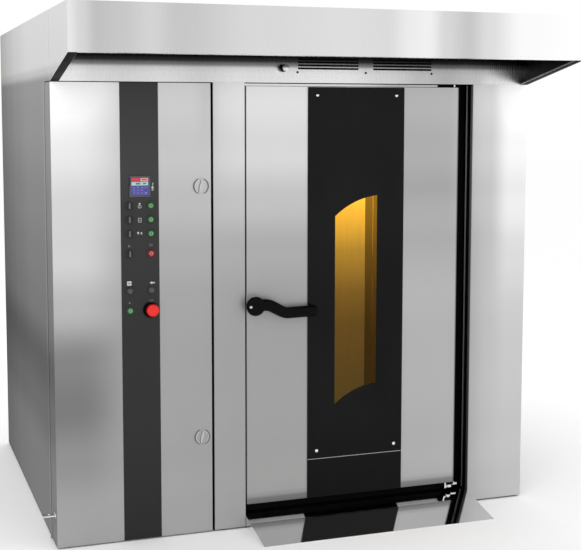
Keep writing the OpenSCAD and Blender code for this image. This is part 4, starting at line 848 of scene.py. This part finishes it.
SCREEN = {"blue": (74, 82, 146), "red": (204, 58, 60), "peach": (204, 160, 148),
          "mint": (168, 192, 184), "teal": (62, 128, 104), "violet": (112, 84, 160),
          "white": (190, 190, 214), "navy": (60, 66, 128)}
screen_mats = [surface("screen_" + k, tint(*v), 0.2, 300, 0.06, 0, spec=0.3,
                       emission_color=tint(*v), emission_strength=0.08)
               for k, v in SCREEN.items()]
SCREEN_X, SCREEN_Z, SCREEN_W = x0 + DISPLAY_RIM, z0 + DISPLAY_RIM, DISPLAY_W - 2 * DISPLAY_RIM
screen = Shape()


def field(colour, u0, u1, v0, v1, y=-6.1):
    """A patch of the screen, placed by shares of its width and height."""
    screen.use(list(SCREEN).index(colour)).box(
        SCREEN_X + u0 * SCREEN_W, SCREEN_X + u1 * SCREEN_W, y, y + 0.4,
        SCREEN_Z + v0 * SCREEN_W, SCREEN_Z + v1 * SCREEN_W)


field("blue", 0, 1, 0, 1, -5.7)
field("red", 0.04, 0.48, 0.78, 0.97)
field("peach", 0.54, 0.97, 0.78, 0.97)
field("mint", 0.03, 0.97, 0.56, 0.75)
field("teal", 0.28, 0.52, 0.61, 0.71, -6.3)
field("teal", 0.68, 0.86, 0.62, 0.70, -6.3)
field("red", 0.62, 0.9, 0.84, 0.92, -6.3)
for row in range(3):
    for col in range(4):
        u, v = 0.1 + col * 0.22, 0.09 + row * 0.155
        field("violet" if (row + col) % 2 else "navy", u, u + 0.14, v, v + 0.1)
for u, v in ((0.15, 0.42), (0.37, 0.27), (0.6, 0.42), (0.82, 0.12), (0.16, 0.12), (0.6, 0.12)):
    field("white", u, u + 0.04, v, v + 0.04, -6.3)
screen.make("display_screen", screen_mats, "service_door", "display_plastic")

# Bezels with their barrels and contact blocks
BORE_R, BARREL_R, BARREL_Y, BLOCK_Y = CAP_R + 0.2, 15, 14, 50
bezels = Shape()
for x, z in [(LEFT_COL, z) for z in ROWS] + BUTTONS + [(RIGHT_COL, START_Z)]:
    bezels.lathe((x, BEZEL_Y, z), [(BORE_R, BEZEL_T), (BEZEL_R, BEZEL_T), (BEZEL_R, 2),
                                   (BEZEL_R - 1.6, 0), (CAP_R + 0.8, 0), (BORE_R, 1),
                                   (BORE_R, BEZEL_T)])
    bezels.lathe((x, 0, z), [(BORE_R, -STRIP_T), (BARREL_R, -STRIP_T), (BARREL_R, BARREL_Y),
                             (BORE_R, BARREL_Y), (BORE_R, -STRIP_T)])
    bezels.box(x - 15, x + 15, BARREL_Y, BLOCK_Y, z - 15, z + 15)
# The stop's black collar is set 4 mm left of the button, so besides being a collar it shows as a
# crescent of painted shadow on the left.
collar = Shape()
collar.lathe((RIGHT_COL - 4, 0, START_Z), [(24.4, -STRIP_T), (36, -STRIP_T), (36, -7.5),
                                           (33, -9), (24.4, -9), (24.4, -STRIP_T)])
collar.make("stop_collar", jamb_black, "service_door", "black_plastic")
bezels.make("control_bezels", dim_plastic, "service_door", "black_plastic", ("control_bodies",))

RIM_R, RIM_L = CAP_R + 0.4, BEZEL_T - 0.1
rims = Shape()
for i, (x, z) in enumerate(BUTTONS):
    if i not in GREY_CAPS:
        rims.use(int(i == RED_LENS)).lathe((x, BEZEL_Y, z), [
            (RIM_R, -0.5), (18.2, -0.5), (19.9, 1.6), (19.9, RIM_L), (19.6, RIM_L), (19.6, 1.8),
            (18, -0.1), (RIM_R, -0.1), (RIM_R, -0.5)])
rims.make("lens_rims", [green_rim, red_rim], "service_door", "green_lens")

SIDE_R, CAP_L = CAP_R - 0.1, CAP_IN - CAP_Y
for i, (x, z) in enumerate(BUTTONS):
    node = "button_%d" % (i + 1)
    cap = Shape()
    if i in GREY_CAPS:
        cap.lathe((x, CAP_Y, z), [(0, 0), (9, 0.1), (12, 0.5), (SIDE_R, 1.6), (SIDE_R, CAP_L),
                                  (0, CAP_L)])
        cap.make(node + "_cap", cap_grey, node, "grey_cap", (node,))
        continue
    cap.lathe((x, CAP_Y, z), [(0, 1.6), (8.6, 1.6), (9, 0.6), (11.6, 0.3), (SIDE_R, 1.8),
                              (SIDE_R, CAP_L), (0, CAP_L)])
    cap.use(1).lathe((x, CAP_Y, z), [(4.6, 0.6), (5.4, 0.1), (7.6, 0.1), (8.4, 0.6),
                                     (8.4, 1.9), (4.6, 1.9), (4.6, 0.6)])
    if i == RED_LENS:
        cap.make(node + "_lens", [red_mid, red_pale], node, "red_lens", (node,))
    else:
        cap.make(node + "_lens", [green_mid, green_pale], node, "green_lens", (node,))

for i, z in enumerate(ROWS):
    node = "selector_%d" % (i + 1)
    x, y = LEFT_COL, CAP_Y + 2
    knob = Shape()
    knob.lathe((x, y, z), [(0, 0), (10.5, 0), (12.2, 0.8), (SIDE_R, 2.4), (SIDE_R, CAP_IN - y),
                           (0, CAP_IN - y)])
    knob.use(1).prism([(x - 4, z - 12), (x + 4, z - 12), (x + 3.4, z + 14), (x + 1.6, z + 16),
                       (x - 1.6, z + 16), (x - 3.4, z + 14)], y - 10, y + 0.5)
    knob.make(node + "_knob", [dim_plastic, grey_plastic], node, "black_plastic", (node,), 0.6)

head = (RIGHT_COL, BEZEL_Y - 8, START_Z)
inner = CAP_IN - head[1]
stop = Shape()
stop.use(1).lathe(head, [(0, inner), (SIDE_R, inner), (SIDE_R, 1), (0, 1)])
stop.use(0).lathe(head, [(0, 0), (26.5, 0), (29, -1.4), (30, -4), (30, -13), (29.2, -16.5),
                         (27, -19.6), (23.5, -22.4), (18, -24.6), (11, -25.7), (5, -26),
                         (0, -26)], n=64)
# A dark red ring on the side of the head is painted shade.
stop.use(2).lathe(head, [(29.8, -3), (30.3, -4), (30.3, -12.5), (29.7, -16), (27.6, -19.4),
                         (27.2, -19), (29.3, -15), (29.8, -3)], n=64)
stop.make("stop_mushroom", [stop_red, black_plastic, stop_shade], "stop_button", "stop_red",
          ("stop_button",), sharp=35)

# ---- Pictograms: small flat signs on the strip ----

signs = Shape()


def sign(pick, *outlines):
    for o in outlines:
        signs.use(pick).prism(o, -STRIP_T - 0.3, -STRIP_T + 0.1)


def rect(x0, x1, z0, z1):
    return [(x0, z0), (x1, z0), (x1, z1), (x0, z1)]


def hollow_rect(*sizes):
    return [rect(*bar) for bar in border(*sizes)]


x, z = STRIP_X - 1, ROWS[0]
sign(0, circle(4.2, 20, x, z + 9), rect(x - 1.6, x + 1.6, z + 1, z + 6),
     rect(x - 6, x + 6, z - 1, z + 1.6),
     [(x - 9, z - 3), (x - 6.5, z - 1), (x - 6.5, z - 8), (x - 9, z - 6)],
     [(x + 6.5, z - 1), (x + 9, z - 3), (x + 9, z - 6), (x + 6.5, z - 8)],
     rect(x - 6.5, x + 6.5, z - 11, z - 8.4))
z = ROWS[1]
sign(0, *hollow_rect(x - 7.5, x + 7.5, z - 12, z + 8, 1.9), rect(x - 1.5, x + 1.5, z - 4, z - 1))
z = ROWS[2]
sign(0, circle(4.6, 20, x - 8, z + 4), rect(x - 9, x - 7, z - 5, z),
     circle(3.6, 20, x + 7, z + 3), rect(x + 3.5, x + 11.5, z - 2.6, z - 1))
x = STRIP_X + 60
sign(0, rect(x - 1.5, x + 1.5, 1658, 1672), circle(5.5, 20, x, 1650),
     rect(x - 5, x + 5, 1637, 1641), rect(x - 2, x + 5, 1666, 1668))
x = LEFT_COL
sign(0, *hollow_rect(x - 13, x + 7, 1203, 1223, 9), rect(x - 8, x + 2, 1211, 1215))
x = RIGHT_COL
sign(0, [(x - 8, 1212), (x + 4, 1219), (x + 4, 1214.5), (x + 17, 1214.5), (x + 17, 1209.5),
         (x + 4, 1209.5), (x + 4, 1205)])
x = LEFT_COL
sign(1, [(x - 7, 1119), (x + 3, 1119), (x - 2, 1129)],
     [(x - 7, 1380), (x + 6, 1380), (x + 1, 1385), (x - 2, 1393), (x - 5, 1385)])
for z in (1382, 1124):
    sign(1, *hollow_rect(RIGHT_COL - 7, RIGHT_COL + 7, z, z + 10, 2))
signs.make("pictograms", [white_ink, dim_ink], "service_door", "strip_black")

# ---- Latches ----


def crescent(shape, side, z, r0, r1, shift):
    """A sickle between two arcs, which thins out towards the top and the foot."""
    turns = [math.radians(-64 + 128 * k / 20) for k in range(21)]
    outer = [(LATCH_X + side * r0 * math.cos(t), z + r0 * math.sin(t)) for t in turns]
    inner = [(LATCH_X + side * (r1 * math.cos(t) - shift), z + r1 * math.sin(t))
             for t in turns[::-1]]
    shape.prism(outer + inner, -2.4, -1.2)


def shifted(points, dx):
    return [(x + dx, z) for x, z in points]


for i, z in enumerate(LATCHES):
    cup = Shape()
    cup.lathe((LATCH_X, 0, z), [(31, -2), (36.5, -2), (38, -1), (38, 0), (34, 0), (34, 16),
                                (0, 16), (0, 12), (22, 11), (28, 7), (30.4, 0), (31, -2)], n=64)
    # Dark crescents of painted shadow lie on the dish's rim, and thin bright crescents of painted
    # highlight on its inner edge.
    for side in (-1, 1):
        crescent(cup.use(1), side, z, 38, 37, 6.6)
        crescent(cup.use(2), side, z, 31, 31, 2.6)
    cup.make("latch_dish_%d" % (i + 1), [front_steel, grey_plastic, bright_steel],
             "service_door", "bright_steel", ("latch_cups",), sharp=35)
    node = "latch_wing_%d" % (i + 1)
    wing = Shape()
    left, right = [], []
    for k in range(-8, 9):
        x, half = LATCH_X + 4.5 * math.sin(k * math.pi / 16), 3.4 + 2.6 * math.exp(-(k / 3) ** 2)
        left.append((x - half, z + k * 3.6))
        right.insert(0, (x + half, z + k * 3.6))
    for pick, grow, y in ((0, 0.0, -1), (1, 1.6, 0.4)):
        wing.use(pick).prism(shifted(left, -grow) + shifted(right, grow), y, 11 - grow)
    wing.use(1).prism(shifted(left, -4.4) + left[::-1], -1.4, 4)
    wing.use(0).rod((LATCH_X, 0, z), 6, 10, 24)
    wing.box(LATCH_X - 10, LATCH_X + 10, 20, 24, z - 10, z + 74)
    wing.make(node + "_bar", [plain_steel, grey_plastic], node, "bright_steel", (node,), 0.5)

# ---- Baking door ----

hx0, hx1, hz0, hz1 = HOLLOW
inner_y = DOOR_T - SHEET
skin = Shape()
skin.folded([(DOOR_X0, inner_y), (DOOR_X0, 0), (hx0, 0)], DOOR_Z0, DOOR_Z1, "Z")
skin.folded([(hx1, 0), (DOOR_X1, 0), (DOOR_X1, inner_y)], DOOR_Z0, DOOR_Z1, "Z")
skin.box(hx0, hx1, 0, SHEET, DOOR_Z0, hz0)
skin.box(hx0, hx1, 0, SHEET, hz1, DOOR_Z1)
for x0, x1, z, pick in ((DOOR_X0 + SHEET, DOOR_X1 - SHEET, DOOR_Z1 - SHEET, 0),
                        (DOOR_X0 + SHEET, GLASS_X0, DOOR_Z0, 1),
                        (GLASS_X0 + 0.1, GLASS_X1 - 0.1, DOOR_Z0, 2),
                        (GLASS_X1, DOOR_X1 - SHEET, DOOR_Z0, 1)):
    skin.use(pick).box(x0, x1, SHEET, inner_y, z, z + SHEET)
skin.make("door_skin", [front_steel, under_steel, jamb_black], "baking_door", "brushed_steel",
          ("door_outer_skin",))

rosette = Shape()
rosette.prism([(HANDLE_X + 27 * math.cos(a), HANDLE_Z + up * 14 + 27 * math.sin(a))
               for up, start in ((1, 0.0), (-1, math.pi))
               for a in [math.pi * k / 24 + start for k in range(25)]], -8, 0)
rosette.rod((HANDLE_X, 0, HANDLE_Z), 18, 0, 30)
rosette.make("handle_plate", plain_steel, "baking_door", "handle_black", ("door_outer_skin",),
             1.5)

from_cad("door_inner_skin", liner_steel, "baking_door", 0)
from_cad("door_seal", seal_rubber, "baking_door", 1.0)
from_cad("door_glass", glass_black, "baking_door", 0.9)
from_cad("viewing_glass", clear_glass, "baking_door", 0.5)
sweep = Shape()
sweep.box(740, HINGE_X - 34.2, 30, DOOR_T, 76, DOOR_Z0 - 0.2)
sweep.make("sweep_end", seal_rubber, "baking_door", "seal_rubber")
from_cad("door_hinge_arms", jamb_black, "baking_door", 0.8)

rim = Shape()
for x0, x1, z0, z1 in ((hx0, hx0 + 1.5, hz0, hz1), (hx1 - 1.5, hx1, hz0, hz1),
                       (hx0, hx1, hz0, hz0 + 1.5), (hx0, hx1, hz1 - 1.5, hz1)):
    rim.box(x0, x1, 2, DOOR_T - 6.2, z0, z1)
rim.make("window_tunnel", jamb_black, "baking_door", "jamb_dark")

bolts = Shape()
for x in (64, 475):
    for z in (348, 2074):
        bolts.lathe((x, 0, z), [(0, -9), (3, -8.9), (6.5, -8), (8.5, -6), (8.8, -5), (0, -5)],
                    n=28)
bolts.make("glass_screws", bright_steel, "baking_door", "bright_steel", sharp=40)

joint = Shape()
joint.box(GLASS_X0, GLASS_X1, -4.6, -0.2, 306.9, 309.1)
joint.make("glass_joint", plain_steel, "baking_door", "brushed_steel")

# ---- Door handle ----

GRIP_Y, GRIP_SIDE, GRIP_UP, GRIP_L, GRIP_DROP, ROUND_FROM = -39, 23, 27, 308, 43, 0.93
path = []
for k in range(41):
    x = 8 + k / 40 * GRIP_L
    t = max(0.0, min(1.0, (x - 50) / 115))
    drop = GRIP_DROP * t * t * (3 - 2 * t)
    rise = 3 * max(0.0, (x - 150) / 134)
    path.append((HANDLE_X + x, GRIP_Y, HANDLE_Z + 3 - drop + rise))


def grip_ring(share):
    """A squarish oval, fuller at the hub and rounded off at the tip."""
    past = (share - ROUND_FROM) / (1 - ROUND_FROM)
    end = 1 if past < 0 else math.sqrt(max(0.04, 1 - past ** 2))
    a, b = (GRIP_UP + 2.5 * max(0.0, 1 - share * 4)) * end, GRIP_SIDE * end
    return [(a * math.copysign(abs(c) ** 0.85, c), b * math.copysign(abs(d) ** 0.85, d))
            for c, d in circle(1, 32)]


grip = Shape()
grip.sweep(path, grip_ring)
grip.lathe((HANDLE_X, 0, HANDLE_Z), [(0, -60), (31, -60), (40, -58), (44.5, -53), (46, -46),
                                     (43, -32), (34, -16), (28, -8.3), (0, -8.3)], n=64)
grip.rod((HANDLE_X, 0, HANDLE_Z), 10, -8.3, 40)
grip.make("handle_lever", handle_black, "handle", "handle_black", ("door_handle",), sharp=38)
screw = Shape()
screw.lathe((HANDLE_X - 27, 0, HANDLE_Z - 1), [(0, -62), (4.5, -61.8), (6.8, -60.6), (8, -58),
                                               (0, -56)], n=28)
screw.make("handle_screw", plain_steel, "handle", "bright_steel", sharp=40)

# ---- Damper ----

centre = (DAMPER_X, 0, DAMPER_Z)
knob = Shape()
knob.lathe(centre, [(0, -62), (5, -61), (9.5, -58.6), (13, -54.5), (15, -49), (15.2, -44),
                    (13.6, -38.5), (11, -35), (8, -34), (8, 392), (0, 392)], n=56)
knob.lathe((DAMPER_X, FLAP_Y, DAMPER_Z), [(0, -1.5), (75, -1.5), (75, 1.5), (0, 1.5)], "Z")
knob.use(1).lathe(centre, [(8.2, -30), (13, -30), (16.5, -27), (17.5, -22), (17.5, -3),
                           (16, -0.2), (8.2, -0.2), (8.2, -30)], n=56)
knob.make("damper_knob", [knob_chrome, jamb_black], "damper", "bright_steel", ("damper",),
          sharp=35)

# ---- Inside ----

dress(amber_back, "air_walls", "chamber_liner", sides=amber_shaded)
dress(wool, "insulation", "door_core")
dress(heat_steel, "heat_exchanger")
dress(burner_red, "burner")
dress(cast_dark, "steam_generator", "rotation_bearings")
dress(motor_blue, "fan_motor", "gearmotor")
dress(chain_dark, "drive_chain", "driven_sprocket", "drive_sprocket")
dress(board_paint, "electrical_board")
dress(lamp_amber, "chamber_lamp")
dress(table_steel, "turntable", "hanger", "fan_impeller")
